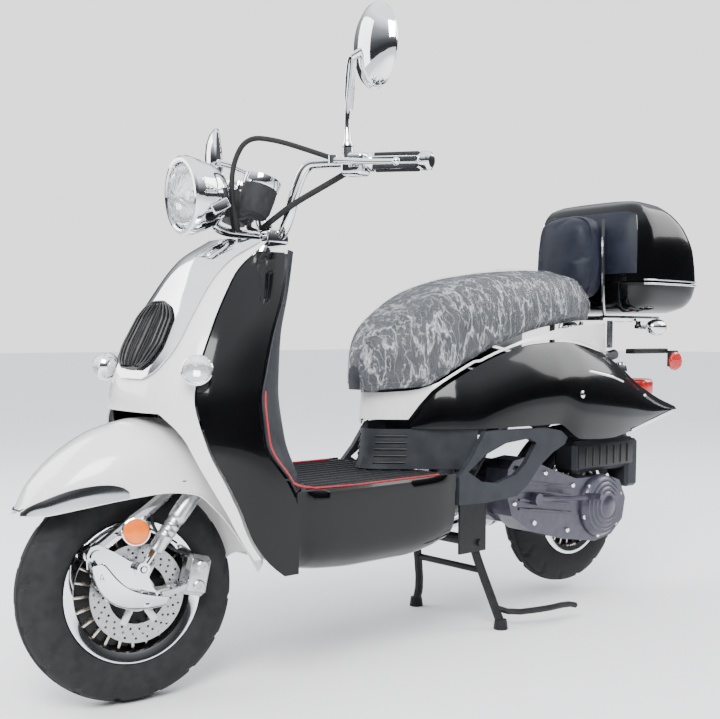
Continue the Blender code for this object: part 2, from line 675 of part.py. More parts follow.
def make_backrest_pad():
    rings = []
    for y, half, low, top in ((1.302, 0.050, 0.835, 0.990), (1.306, 0.060, 0.822, 1.002),
                              (1.340, 0.088, 0.806, 1.018),
                              (1.376, 0.092, 0.803, 1.022), (1.384, 0.084, 0.812, 1.014)):
        ring = []
        for i in range(16):
            angle = 2 * math.pi * (i + 0.5) / 16
            c, s = math.cos(angle), math.sin(angle)
            ring.append(Vector((half * math.copysign(abs(c) ** 0.4, c), y,
                                (low + top) / 2 + (top - low) / 2 * math.copysign(abs(s) ** 0.4, s))))
        rings.append(ring)
    finish(loft("pad", rings), "backrest_pad", VINYL)


def make_rear_rack():
    deck = 0.752
    loop = ((0.10, 1.36, deck), (0.105, 1.45, deck), (0.10, 1.62, deck), (0.06, 1.665, deck),
            (0, 1.67, deck))
    made = tube("loop", [*loop, *other_side(loop[-2::-1])], 0.008, smooth=1, sides=1)
    pieces = [rod("bar_a", (-0.10, 1.42, deck), (0.10, 1.42, deck), 0.007, sides=8),
              rod("bar_b", (-0.10, 1.56, deck), (0.10, 1.56, deck), 0.007, sides=8)]
    for side in (1, -1):
        wire = ((0.10 * side, 1.372, deck), (0.1015 * side, 1.362, 0.80), (0.1015 * side, 1.358, 0.95),
                (0.098 * side, 1.362, 1.012))
        pieces.append(tube("wire", wire, 0.0045, smooth=1, sides=1))
        pieces.append(rod("post", (0.098 * side, 1.40, 0.672), (0.098 * side, 1.40, deck), 0.008, sides=8))
        pieces.append(rod("arm", (0.09 * side, 1.53, 0.730), (0.109 * side, 1.53, 0.728), 0.007, sides=8))
        pieces.append(rod("drop", (0.098 * side, 1.53, 0.728), (0.098 * side, 1.53, deck), 0.007, sides=8))
    finish(combine(made, *pieces), "rear_rack", CHROME)


# ---- steering assembly, straight ahead in the steered frame --------------------------------------------
def make_fork():
    crown = axis_point(0.452)
    stem = rod("stem", crown, axis_point(0.888), 0.0165, sides=16)
    cross = rod("cross", (-0.066, crown.y, 0.452), (0.066, crown.y, 0.452), 0.0155)
    pieces = [cross]
    for side in (1, -1):
        x = 0.0625 * side
        leg = ((x, crown.y + 0.002, 0.452), (x, 0.050, 0.385),
               (x, LINK_PIVOT.y + 0.020, LINK_PIVOT.z + 0.022),
               (x, LINK_PIVOT.y, LINK_PIVOT.z))
        pieces.append(tube("leg", leg, 0.0125, smooth=1))
        pieces.append(rod("eye", (x - 0.012 * side, LINK_PIVOT.y, LINK_PIVOT.z),
                          (x + 0.0125 * side, LINK_PIVOT.y, LINK_PIVOT.z),
                          0.016, sides=14))
        pieces.append(rod("stud", (x, SHOCK_TOP.y, SHOCK_TOP.z), (0.0740 * side, SHOCK_TOP.y, SHOCK_TOP.z),
                          0.009, sides=10))
        pieces.append(rod("web", (x, SHOCK_TOP.y, SHOCK_TOP.z - 0.006), (x, SHOCK_TOP.y, 0.450), 0.0115,
                          sides=10))
    finish(combine(stem, *pieces), "fork", CHROME, STEERED)


def fender_point(station, degrees):
    crown_y, crown_z, edge_y, edge_z, half = station
    angle = math.radians(degrees)
    rise = max(math.cos(angle), 0) ** 0.62
    return Vector((half * math.sin(angle), edge_y + (crown_y - edge_y) * rise,
                   edge_z + (crown_z - edge_z) * rise))


def make_front_fender():
    rows = [[fender_point(station, deg) for deg in (-90, -76, -60, -40, -20, 0, 20, 40, 60, 76,
                                                    90)] for station in FENDER]
    made = shell("fender", rows, WALL, outward=1)
    hole = rod("hole", axis_point(0.46), axis_point(0.58), 0.022, sides=16)
    finish(combine(made, hole, operation="DIFFERENCE"), "front_fender", WHITE, STEERED)


def make_front_shock(ending, side):
    top = Vector((SHOCK_TOP.x * side, *SHOCK_TOP.yz))
    foot = Vector((SHOCK_FOOT.x * side, *SHOCK_FOOT.yz))
    along = (foot - top).normalized()
    length = (foot - top).length
    bore = 0.0078
    profile = ((bore, 0.020), (0.0170, 0.020), (0.0170, 0.095), (0.0150, 0.100), (0.0150, length - 0.040),
               (bore, length - 0.040))
    body = turned("body", profile, top, along, 16, closed=True)
    cap = rod("cap", top - along * 0.012, top + along * 0.024, 0.0150, sides=14)
    finish(combine(body, cap), f"front_shock_body_{ending}", ALLOY, STEERED)
    shaft = rod("shaft", top + along * 0.058, foot - along * 0.005, 0.0072, sides=12)
    across = Vector((1, 0, 0))
    eye = rod("eye", foot - across * 0.0080, foot + across * 0.0080, 0.0130, sides=16)
    made = combine(shaft, eye)
    bore = rod("bore", foot - across * 0.02, foot + across * 0.02, EYE_BORE, sides=14)
    finish(combine(made, bore, operation="DIFFERENCE"), f"front_shock_rod_{ending}", CHROME, STEERED)


EYE_BORE = 0.0075
LINK = ((-0.104, 0.302), (-0.096, 0.316), (-0.080, 0.319), (-0.066, 0.310), (-0.048, 0.300),
        (-0.022, 0.281),
        (-0.004, 0.278), (0.010, 0.266), (0.014, 0.246), (0.020, 0.228), (0.030, 0.214), (0.028, 0.198),
        (0.012, 0.190), (-0.020, 0.190), (-0.058, 0.206),
        (-0.088, 0.240), (-0.103, 0.276))


def make_links():
    def one(ending, side):
        low, high = sorted((0.0765 * side, 0.0825 * side))
        made = plate("link", LINK, low, high)
        pin = rod("pin", (0.078 * side, *SHOCK_FOOT.yz), (0.1025 * side, *SHOCK_FOOT.yz), 0.0050)
        hinge = rod("hinge", (0.078 * side, *LINK_PIVOT.yz), (0.088 * side, *LINK_PIVOT.yz), 0.014,
                    sides=14)
        made = combine(made, pin, hinge)
        if side == 1:
            spindle = rod("spindle", (-0.0760, 0, TYRE_RADIUS), (0.080, 0, TYRE_RADIUS), 0.0075, sides=16)
            made = combine(made, spindle)
        finish(made, f"front_link_{ending}", CHROME, STEERED)

    both(one)


def make_caliper():
    made = box("caliper", (0.040, 0.050, 0.078), (0.0672, 0.112, 0.238), 0.008,
               Matrix.Rotation(-0.25, 4, "X"))
    slot = box("slot", (0.009, 0.09, 0.12), (0.0555, 0.085, 0.238))
    made = combine(made, slot, operation="DIFFERENCE")
    arm = tube("arm", ((0.0825, 0.105, 0.225), (0.0840, 0.070, 0.215), (0.0840, 0.036, 0.212)), 0.006,
               smooth=1, sides=1)
    finish(combine(made, arm), "brake_caliper", ALLOY, STEERED)


def rim_profile(half):
    return ((0.1170, half - 0.004), (RIM_RADIUS, half), (RIM_RADIUS, half - 0.0035), (0.1262, half - 0.008),
            (0.1262, -half + 0.008), (RIM_RADIUS, -half + 0.0035), (RIM_RADIUS, -half),
            (0.1170, -half + 0.004))


def make_rim(name, centre, parent):
    made = turned("rim", rim_profile(0.038), centre, (1, 0, 0), 28, closed=True)
    hub = rod("hub", centre + Vector((-0.042, 0, 0)), centre + Vector((0.042, 0, 0)), 0.030, sides=12)
    spokes = []
    for i in range(7):
        angle = 2 * math.pi * i / 7
        middle = centre + Vector((0.006, math.cos(angle) * 0.072, math.sin(angle) * 0.072))
        spokes.append(box("spoke", (0.012, 0.096, 0.020), middle, 0, Matrix.Rotation(angle, 4, "X")))
    made = combine(made, hub, *spokes)
    bore = rod("bore", centre + Vector((-0.06, 0, 0)), centre + Vector((0.06, 0, 0)), 0.0085, sides=12)
    finish(combine(made, bore, operation="DIFFERENCE"), name, RIM_PAINT, parent)


def make_tyre(name, centre, parent):
    w = TYRE_HALF_WIDTH
    side = ((0.1268, 0.0270), (0.1375, 0.0325), (0.150, w - 0.003), (0.168, w), (0.186, w - 0.002),
            (0.202, w - 0.012), (TYRE_RADIUS, 0.012))
    profile = [*side, *[(r, -a) for r, a in reversed(side)]]
    finish(turned("tyre", profile, centre, (1, 0, 0), 28, closed=True), name, RUBBER, parent)


def make_brake_disc():
    profile = ((0.0085, -0.0025), (0.094, -0.0015), (0.094, 0.0020), (0.040, 0.0025), (0.0085, 0.0025))
    finish(turned("disc", profile, (0.0550, 0, TYRE_RADIUS), (1, 0, 0), 28, closed=True), "brake_disc",
           STEEL, STEERED)


def make_handlebar():
    half = [Vector((0, 0.352, 0.905)), Vector((0.030, 0.353, 0.905)), Vector((0.058, 0.358, 0.935)),
            Vector((0.075, 0.366, 0.995)), Vector((0.095, 0.382, 1.046)), BAR_START - BAR_LINE * 0.02,
            bar_spot(0.02), BAR_END]
    made = tube("bar", [*other_side(half[:0:-1]), *half], 0.0110, smooth=1)
    clamp = box("clamp", (0.075, 0.050, 0.034), (0, 0.346, 0.9075), 0.006)
    finish(combine(made, clamp), "handlebar", CHROME, STEERED)


BAR_LINE = (BAR_END - BAR_START).normalized()


def bar_spot(distance, side=1):
    """A point on the straight end of the handlebar, this far from its inner end."""
    spot = BAR_START + BAR_LINE * distance
    return Vector((spot.x * side, spot.y, spot.z))


def bar_direction(side):
    return Vector((BAR_LINE.x * side, BAR_LINE.y, BAR_LINE.z))


def make_grips():
    def one(ending, side):
        profile = ((0.0114, 0.0), (0.0190, 0.0), (0.0190, 0.004), (0.0160, 0.007), (0.0160, 0.116),
                   (0.0175, 0.120),
                   (0.0165, 0.132), (0.010, 0.137), (0.0, 0.138), (0.0, 0.1305), (0.0114, 0.1305))
        name = {"left": "grip_left", "right": "throttle_grip"}[ending]
        made = turned("grip", profile, bar_spot(0.094, side), bar_direction(side), 14, closed=True)
        finish(made, name, GRIP_RUBBER, STEERED)

    both(one)


def make_switch_housing(ending, side):
    turn = Vector((1, 0, 0)).rotation_difference(bar_direction(side) * side).to_matrix().to_4x4()
    middle = bar_spot(0.061, side)
    made = box("housing", (0.052, 0.040, 0.046), middle + Vector((0, -0.004, -0.004)), 0.008, turn)
    boss = rod("boss", middle + Vector((-0.006 * side, -0.018, 0.0)),
               middle + Vector((-0.006 * side, -0.018, 0.030)), 0.011)
    perch = box("perch", (0.022, 0.030, 0.012), middle + Vector((-0.004 * side, -0.034, 0.002)), 0.003,
                turn)
    made = combine(made, boss, perch)
    bore = rod("bore", bar_spot(-0.02, side), bar_spot(0.12, side), 0.0114, sides=16)
    finish(combine(made, bore, operation="DIFFERENCE"), f"switch_housing_{ending}", ALLOY, STEERED)


def make_brake_lever(ending, side):
    start = bar_spot(0.066, side) + Vector((0, -0.062, 0.0))
    points = (start, bar_spot(0.095, side) + Vector((0, -0.066, -0.002)),
              bar_spot(0.14, side) + Vector((0, -0.052, -0.004)),
              bar_spot(0.205, side) + Vector((0, -0.056, -0.005)))
    made = tube("lever", points, 0.0055, smooth=1, sides=1)
    knob = ball("knob", bar_spot(0.205, side) + Vector((0, -0.056, -0.005)), (0.008, 0.008, 0.008), 6, 10)
    hub = rod("hub", start + Vector((0, 0, -0.008)), start + Vector((0, 0, 0.008)), 0.009)
    finish(combine(made, knob, hub), f"brake_lever_{ending}", CHROME, STEERED)


# Mirror stem and head, from the foot on the switch housing. The right one is folded down and inwards.
MIRROR_FOOT = bar_spot(0.061) + Vector((-0.006, -0.018, 0.0305))
MIRROR_HEAD = {"left": Vector((0.061, 0.025, 0.190)), "right": Vector((0.003, -0.097, 0.040))}
MIRROR_NECK = {"left": Vector((0.031, -0.002, 0.166)), "right": Vector((0.002, -0.052, 0.033))}
MIRROR_TURN = {"left": Matrix.Rotation(0, 4, "Z"), "right": Matrix.Rotation(math.radians(-33), 4, "Z")}


def make_mirror(ending, side):
    foot = Vector((MIRROR_FOOT.x * side, MIRROR_FOOT.y, MIRROR_FOOT.z))
    neck, head = (foot + v for v in (MIRROR_NECK[ending], MIRROR_HEAD[ending]))
    height = 0.060 if side == 1 else 0.018
    bend = foot.lerp(neck, 0.5) + Vector((0, 0, height * 0.4))
    stem = tube("stem", (foot + Vector((0, 0, 0.004)), foot + Vector((0, 0, height)), bend, neck), 0.0055,
                smooth=1)
    cone = rod("cone", foot, foot + Vector((0, 0, height * 0.6)), 0.0095, 0.0065)
    size = (0.070, 0.022, 0.086) if side == 1 else (0.060, 0.020, 0.073)
    shape = ball("head", head, size, 8, 12)
    shape.matrix_basis = Matrix.Translation(head) @ MIRROR_TURN[ending]
    arm = rod("arm", neck + (neck - head).normalized() * 0.005, neck.lerp(head, 0.8), 0.008)
    finish(combine(cone, stem, arm, shape), f"mirror_{ending}", CHROME, STEERED)


def make_headlight():
    centre = Vector((0, 0.150, 0.983))
    facing = Vector((0, -1, -0.06)).normalized()
    wall = 0.003
    outer = ((0.066, 0.004), (0.0770, 0.002), (0.0790, -0.010), (0.0740, -0.026), (0.0640, -0.058),
             (0.0480, -0.080),
             (0.022, -0.092), (0, -0.094))
    inner = [(0, -0.094 + wall), (0.021, -0.0885), (0.0460, -0.077), (0.0605, -0.057), (0.066, -0.030),
             (0.066, -0.004)]
    made = turned("bucket", [*outer, *inner], centre, facing, 20, closed=True)
    bracket = tube("bracket", ((0, 0.203, 0.950), (0, 0.226, 0.916), (0, 0.295, 0.913), (0, 0.3185, 0.911)),
                   0.009, smooth=1)
    finish(combine(made, bracket), "headlight_shell", CHROME, STEERED)
    lens = ((0, 0.012), (0.030, 0.010), (0.052, 0.005), (0.0650, -0.003), (0.0650, -0.006), (0.045, -0.001),
            (0, 0.006))
    finish(turned("lens", lens, centre, facing, 20), "headlight_lens", CLEAR, STEERED)


def make_gauges():
    up = Vector((0, 0.36, 1)).normalized()
    made = None
    for x in (0.046, -0.046):
        foot = Vector((x, 0.282, 0.945))
        pod = turned("pod", ((0, 0), (0.030, 0), (0.036, 0.060), (0.038, 0.064), (0.038, 0.080),
                             (0, 0.080)),
                     foot, up, 14)
        made = pod if made is None else combine(made, pod)
    bridge = box("bridge", (0.100, 0.020, 0.020), (0, 0.284, 0.955), 0.004)
    finish(combine(made, bridge), "gauge_cluster", GREY, STEERED)


# ---- engine, rear wheel, stand --------------------------------------------------------------------------
def make_engine():
    case = ((0.935, 0.385), (0.955, 0.405), (1.00, 0.410), (1.10, 0.372), (1.20, 0.340), (1.33, 0.338),
            (1.385, 0.320),
            (1.412, 0.270), (1.400, 0.215), (1.350, 0.178), (1.28, 0.168), (1.15, 0.190), (1.02, 0.225),
            (0.95, 0.270),
            (0.930, 0.330))
    made = plate("case", case, 0.080, 0.150)
    crank = rod("crank", (-0.105, 1.00, 0.320), (0.082, 1.00, 0.320), 0.078, sides=16)
    fan = rod("fan", (-0.150, 1.00, 0.320), (-0.104, 1.00, 0.320), 0.088, 0.092, sides=18)
    hanger = box("hanger", (0.080, 0.09, 0.030), (0, 0.905, 0.395), 0.004)
    link = box("link", (0.060, 0.05, 0.06), (0, 0.955, 0.372), 0.004)
    shaft = rod("shaft", (-0.040, REAR_AXLE.y, REAR_AXLE.z), (0.085, REAR_AXLE.y, REAR_AXLE.z), 0.0078)
    boss = rod("boss", (0.046, REAR_AXLE.y, REAR_AXLE.z), (0.085, REAR_AXLE.y, REAR_AXLE.z), 0.038, 0.05,
               sides=16)
    bolt = rod("bolt", (-0.061, SWING_PIVOT.y, SWING_PIVOT.z), (0.061, SWING_PIVOT.y, SWING_PIVOT.z),
               0.0098, sides=14)
    barrel = rod("barrel", (0, 0.800, 0.292), (0, 0.935, 0.310), 0.044, sides=16)
    head = box("head", (0.095, 0.045, 0.085), (0, 0.815, 0.296), 0.010)
    finish(combine(made, crank, fan, hanger, link, shaft, boss, bolt, barrel, head), "engine_case", ENGINE)


def make_clutch_cover():
    profile = ((0, 0.032), (0.030, 0.031), (0.058, 0.026), (0.075, 0.015), (0.083, 0.000), (0, 0.000))
    made = turned("cover", profile, (0.1505, 1.298, 0.262), (1, 0, 0), 24)
    finish(made, "clutch_cover", ENGINE)


def make_muffler():
    can = turned("can", ((0, 0), (0.040, 0.004), (0.047, 0.018), (0.047, 0.300), (0.040, 0.316),
                         (0, 0.320)),
                 (-0.130, 1.10, 0.225), (0, 1, 0.14), 18)
    pipe = tube("pipe", ((-0.056, 0.830, 0.285), (-0.075, 0.862, 0.262), (-0.088, 0.93, 0.215),
                         (-0.125, 1.02, 0.202),
                         (-0.130, 1.13, 0.229)), 0.012, smooth=1)
    tail = rod("tail", (-0.130, 1.40, 0.268), (-0.130, 1.445, 0.262), 0.011, sides=12)
    finish(combine(can, pipe, tail), "muffler", CHROME)


def make_air_filter():
    body = box("body", (0.070, 0.265, 0.082), (0.1110, 1.3275, 0.392), 0.010)
    drop = box("drop", (0.070, 0.052, 0.130), (0.1110, 1.448, 0.362), 0.008)
    finish(combine(body, drop), "air_filter", GREY)


def make_kick_lever():
    hub = rod("hub", (0.1515, 1.03, 0.305), (0.170, 1.03, 0.305), 0.015, sides=14)
    arm = tube("arm", ((0.163, 1.03, 0.305), (0.166, 1.10, 0.300), (0.190, 1.16, 0.298),
                       (0.198, 1.19, 0.300)), 0.0065, smooth=1)
    pad = rod("pad", (0.190, 1.188, 0.300), (0.236, 1.192, 0.302), 0.009, sides=12)
    finish(combine(hub, arm, pad), "kick_lever", STEEL)


def make_rear_shock():
    foot = Vector((0.1075, 1.468, 0.442))
    top = Vector((0.1075, 1.436, 0.632))
    along = (top - foot).normalized()
    turns = 6
    profile = [(0.010, 0.0)]
    for i in range(turns):
        z = 0.022 + i * 0.022
        profile += [(0.014, z), (0.019, z + 0.005), (0.014, z + 0.010)]
    profile += [(0.012, 0.165), (0.012, (top - foot).length)]
    profile = [(0, 0.0), *profile, (0, (top - foot).length)]
    finish(turned("shock", profile, foot, along, 10), "rear_shock", STEEL)


def make_centre_stand():
    pivot = rod("pivot", (-0.128, STAND_PIVOT.y, STAND_PIVOT.z), (0.128, STAND_PIVOT.y, STAND_PIVOT.z),
                0.0080, sides=12)
    sleeve = rod("sleeve", (-0.110, STAND_PIVOT.y, STAND_PIVOT.z), (0.110, STAND_PIVOT.y, STAND_PIVOT.z),
                 0.014, sides=12)
    pieces = [sleeve]
    for side in (1, -1):
        leg = ((0.098 * side, STAND_PIVOT.y, STAND_PIVOT.z), (0.108 * side, 0.885, 0.150),
               (0.128 * side, 0.912, 0.060),
               (0.146 * side, 0.918, 0.014))
        pieces.append(tube("leg", leg, 0.011, smooth=1))
        pieces.append(rod("foot", (0.147 * side, 0.918, -0.0008), (0.147 * side, 0.918, 0.022), 0.018,
                          0.015, sides=12))
    tang = ((0.130, 0.912, 0.050), (0.160, 0.945, 0.036), (0.198, 1.02, 0.040), (0.212, 1.09, 0.044),
            (0.216, 1.118, 0.037))
    pieces.append(tube("tang", tang, 0.0075, smooth=1, sides=1))
    pieces.append(rod("tie", (-0.110, 0.889, 0.140), (0.110, 0.889, 0.140), 0.008, sides=10))
    finish(combine(pivot, *pieces), "centre_stand", FRAME_PAINT)


def main():
    make_frame()
    make_front_cowl()
    both(make_leg_panel)
    make_inner_shield()
    make_chrome_trim()
    make_grille()
    both(make_front_signal)
    make_floorboard()
    make_belly_pan()
    make_under_seat_panel()
    both(make_side_skirt)
    make_seat_cowl()
    both(make_side_cowl)
    make_rear_fender()
    make_tail_light()
    both(make_tail_signal)
    make_storage_bucket()
    make_seat()
    make_trunk()
    make_backrest_pad()
    make_rear_rack()
    make_fork()
    make_front_fender()
    both(make_front_shock)
    make_links()
    make_caliper()
    make_rim("front_rim", FRONT_AXLE, STEERED)
    make_tyre("front_tyre", FRONT_AXLE, STEERED)
    make_brake_disc()
    make_handlebar()
    make_grips()
    both(make_switch_housing)
    both(make_brake_lever)
    both(make_mirror)
    make_headlight()
    make_gauges()
    make_engine()
    make_clutch_cover()
    make_muffler()
    make_air_filter()
    make_kick_lever()
    make_rim("rear_rim", REAR_AXLE, ROOT)
    make_tyre("rear_tyre", REAR_AXLE, ROOT)
    make_rear_shock()
    make_centre_stand()


main()
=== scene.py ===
import json
import math

import bmesh
import bpy
from mathutils import Matrix, Vector, noise


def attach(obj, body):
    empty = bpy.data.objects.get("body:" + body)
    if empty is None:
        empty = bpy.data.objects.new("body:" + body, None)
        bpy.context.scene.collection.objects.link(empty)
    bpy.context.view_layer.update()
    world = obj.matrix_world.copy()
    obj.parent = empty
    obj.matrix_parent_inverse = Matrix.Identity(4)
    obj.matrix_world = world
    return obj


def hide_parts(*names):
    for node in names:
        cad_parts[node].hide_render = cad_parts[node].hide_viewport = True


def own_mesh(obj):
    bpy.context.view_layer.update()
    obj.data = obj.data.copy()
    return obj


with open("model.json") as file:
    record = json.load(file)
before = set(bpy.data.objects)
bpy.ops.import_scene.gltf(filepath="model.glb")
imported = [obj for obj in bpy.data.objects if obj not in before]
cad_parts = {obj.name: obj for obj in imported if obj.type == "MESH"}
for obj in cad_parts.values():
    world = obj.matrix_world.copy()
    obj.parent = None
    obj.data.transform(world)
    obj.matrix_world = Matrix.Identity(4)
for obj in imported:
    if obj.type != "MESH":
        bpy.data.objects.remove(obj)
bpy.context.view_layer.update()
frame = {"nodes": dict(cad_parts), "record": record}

# ---- the scooter's own measures, the same as in the CAD: design frame with Y from the front axle -
ROOT_SHIFT = Vector((-0.0131, -0.7501, 0.0008))
WHEELBASE = 1.331
TYRE_RADIUS = 0.215
TYRE_HALF_WIDTH = 0.045
RIM_RADIUS = 0.137
FRONT_AXLE = Vector((0, 0, TYRE_RADIUS))
REAR_AXLE = Vector((0, WHEELBASE, 0.248))
RAKE = math.radians(24.5)
STEER_REST = math.radians(-8.0)
AXIS_FOOT = Vector((0, -0.075, 0))
AXIS_DIR = Vector((0, math.sin(RAKE), math.cos(RAKE)))
SHOCK_TOP = Vector((0.092, 0.128, 0.424))
SHOCK_FOOT = Vector((0.092, -0.003, 0.266))
BAR_START = Vector((0.150, 0.412, 1.041))
BAR_END = Vector((0.352, 0.496, 1.014))
WALL = 0.0025
SHIELD_POWER = 0.74
RING_SIDES = 64
SIDES = (("left", 1), ("right", -1))
ACROSS = (1, 0, 0)
BACKWARD = (0, 1, 0)
UP = (0, 0, 1)


# ---- tables read along one axis ------------------------------------------------------------------
# Leg shield: height, nose, half width, rear edge and seam angles of its plan section.
NOSE_Y = ((0.24, 0.010), (0.56, 0.010), (0.64, 0.025), (0.71, 0.058), (0.78, 0.098), (0.85, 0.150),
          (0.895, 0.222))
SHIELD_HALF = ((0.24, 0.200), (0.42, 0.208), (0.58, 0.195), (0.64, 0.183), (0.71, 0.163), (0.78, 0.135),
               (0.85, 0.102), (0.895, 0.078))
REAR_Y = ((0.24, 0.265), (0.36, 0.262), (0.42, 0.235), (0.50, 0.180), (0.58, 0.176), (0.64, 0.196),
          (0.71, 0.228), (0.78, 0.272), (0.85, 0.308), (0.895, 0.326))
SEAM_DEG = ((0.24, 85), (0.28, 77), (0.34, 69), (0.48, 59), (0.60, 50), (0.73, 52), (0.82, 57), (0.895, 74))
ARCH_DEG = ((0.28, 73), (0.34, 64), (0.42, 54), (0.50, 44), (0.53, 36), (0.56, 22))
CHROME_DEG = ((0.622, 7), (0.64, 18), (0.68, 28), (0.74, 33), (0.80, 38), (0.85, 48), (0.893, 66))
GRILLE_DEG = ((0.640, 5), (0.655, 12), (0.69, 17), (0.73, 17), (0.755, 11), (0.765, 4))
SHIELD_CENTRE_Y = ((0.40, 0.362), (0.50, 0.335), (0.60, 0.322), (0.70, 0.328), (0.80, 0.356), (0.88, 0.385))
# Along the body: seat underside, top edge of the side cowl, and the cowl's other edges.
SEAT_BOTTOM = ((0.578, 0.580), (0.68, 0.588), (0.76, 0.626), (0.85, 0.666), (0.92, 0.690), (1.0, 0.711),
               (1.075, 0.725), (1.2, 0.739), (1.33, 0.745))
COWL_TOP = ((0.672, 0.500), (0.69, 0.534), (0.714, 0.570), (0.76, 0.608), (0.84, 0.646), (0.90, 0.665),
            (0.99, 0.683), (1.10, 0.688), (1.26, 0.664), (1.36, 0.626), (1.47, 0.572), (1.60, 0.527),
            (1.70, 0.502))
COWL_BOTTOM = ((0.672, 0.495), (1.04, 0.494), (1.13, 0.452), (1.26, 0.446), (1.35, 0.455), (1.47, 0.470),
               (1.70, 0.493))
COWL_TOP_X = ((0.672, 0.074), (0.714, 0.120), (0.76, 0.150), (0.82, 0.164), (0.90, 0.171), (1.10, 0.172),
              (1.26, 0.163), (1.47, 0.142), (1.70, 0.105))
COWL_BOTTOM_X = ((0.672, 0.080), (0.714, 0.134), (0.76, 0.176), (0.80, 0.194), (0.90, 0.203), (1.10, 0.205),
                 (1.30, 0.195), (1.47, 0.172), (1.70, 0.112))
COWL_BULGE = ((0.672, 0.002), (0.76, 0.010), (0.95, 0.030), (1.20, 0.034), (1.45, 0.022), (1.70, 0.003))
BAND_HALF = ((0.612, 0.010), (0.63, 0.034), (0.66, 0.064), (0.70, 0.102), (0.73, 0.131), (0.76, 0.150),
             (0.82, 0.164), (0.90, 0.171), (1.10, 0.170), (1.26, 0.155), (1.33, 0.135))
SEAT_TOP = ((0.578, 0.634), (0.585, 0.672), (0.62, 0.720), (0.70, 0.768), (0.815, 0.822), (0.95, 0.853),
            (1.12, 0.870), (1.22, 0.862), (1.28, 0.832), (1.298, 0.795))
SEAT_HALF = ((0.578, 0.018), (0.60, 0.048), (0.63, 0.078), (0.66, 0.102), (0.70, 0.128), (0.75, 0.146),
             (0.85, 0.158), (0.95, 0.160), (1.12, 0.158), (1.22, 0.145), (1.28, 0.118), (1.298, 0.085))
# Grey panel between floor and white band: place along the body and half width.
VENT_HALF = ((0.614, 0.0), (0.622, 0.024), (0.66, 0.064), (0.70, 0.104), (0.73, 0.134), (0.76, 0.164),
             (0.786, 0.188))
# Belly pan: place along the body, top, bottom and half width.
BELLY = ((0.275, 0.362, 0.258, 0.199), (0.30, 0.362, 0.236, 0.203), (0.36, 0.362, 0.224, 0.205),
         (0.45, 0.362, 0.218, 0.205), (0.58, 0.362, 0.218, 0.204), (0.65, 0.361, 0.226, 0.202),
         (0.695, 0.358, 0.240, 0.198))
# Trunk: height, front, rear and half width.
TRUNK_LEVELS = ((0.768, 1.435, 1.640, 0.140), (0.785, 1.412, 1.692, 0.166), (0.815, 1.405, 1.712, 0.181),
                (0.847, 1.402, 1.716, 0.187), (0.849, 1.402, 1.716, 0.187), (0.93, 1.404, 1.702, 0.186),
                (0.99, 1.408, 1.664, 0.180), (1.03, 1.416, 1.612, 0.168), (1.055, 1.430, 1.560, 0.148),
                (1.066, 1.452, 1.525, 0.118))
# Front fender stations from its tip back: crown y and z, edge y and z, half width.
FENDER = ((-0.203, 0.390, -0.206, 0.378, 0.026), (-0.178, 0.433, -0.176, 0.380, 0.066),
          (-0.120, 0.490, -0.112, 0.391, 0.098), (-0.040, 0.533, -0.040, 0.402, 0.117),
          (0.040, 0.548, 0.036, 0.408, 0.124), (0.120, 0.538, 0.096, 0.400, 0.124),
          (0.190, 0.495, 0.140, 0.365, 0.120), (0.236, 0.420, 0.180, 0.318, 0.112),
          (0.262, 0.335, 0.212, 0.275, 0.100), (0.272, 0.255, 0.246, 0.228, 0.080))


def spline(table, x):
    """Smooth interpolation through a table of (position, value)."""
    xs = [row[0] for row in table]
    ys = [row[1] for row in table]
    if x <= xs[0]:
        return ys[0]
    if x >= xs[-1]:
        return ys[-1]
    i = max(k for k in range(len(xs) - 1) if xs[k] <= x)
    span = xs[i + 1] - xs[i]
    t = (x - xs[i]) / span

    def slope(k):
        if k == 0 or k == len(xs) - 1:
            return (ys[1] - ys[0]) / (xs[1] - xs[0]) if k == 0 else (ys[-1] - ys[-2]) / (xs[-1] - xs[-2])
        left = (ys[k] - ys[k - 1]) / (xs[k] - xs[k - 1])
        right = (ys[k + 1] - ys[k]) / (xs[k + 1] - xs[k])
        return 0.0 if left * right <= 0 else 2 * left * right / (left + right)

    m0 = slope(i) * span
    m1 = slope(i + 1) * span
    return ((2 * t**3 - 3 * t**2 + 1) * ys[i] + (t**3 - 2 * t**2 + t) * m0
            + (3 * t**2 - 2 * t**3) * ys[i + 1] + (t**3 - t**2) * m1)


def row_at(table, x):
    """Every other column of a table, read at this place along its first column."""
    return [spline([(row[0], row[k]) for row in table], x) for k in range(1, len(table[0]))]


def spread(low, high, count):
    return [low + (high - low) * i / (count - 1) for i in range(count)]


def other_side(points):
    return [Vector((-p[0], p[1], p[2])) for p in points]


def squarer(part, power):
    """A sine or cosine with its size raised to a power, which squares off the curve it draws."""
    return math.copysign(abs(part) ** power, part)


def squared_ring(power):
    """Points round a unit circle that is squared off by the power."""
    angles = (2 * math.pi * (i + 0.5) / RING_SIDES for i in range(RING_SIDES))
    return [(squarer(math.cos(a), power), squarer(math.sin(a), power)) for a in angles]


def shield_point(z, degrees, out=0.0):
    """A point of the leg shield's outer surface, pushed out along its normal."""
    def raw(zz, deg):
        angle = math.radians(min(abs(deg), 90))
        nose, rear = spline(NOSE_Y, zz), spline(REAR_Y, zz)
        x = spline(SHIELD_HALF, zz) * math.sin(angle) ** SHIELD_POWER * math.copysign(1, deg)
        return Vector((x, nose + (rear - nose) * (1 - max(math.cos(angle), 0) ** SHIELD_POWER), zz))

    spot = raw(z, degrees)
    if out:
        at = max(min(degrees, 88), -88)
        across = raw(z, at + 1) - raw(z, at - 1)
        along = raw(z + 0.005, at) - raw(z - 0.005, at)
        spot = spot + across.cross(along).normalized() * out
    return spot


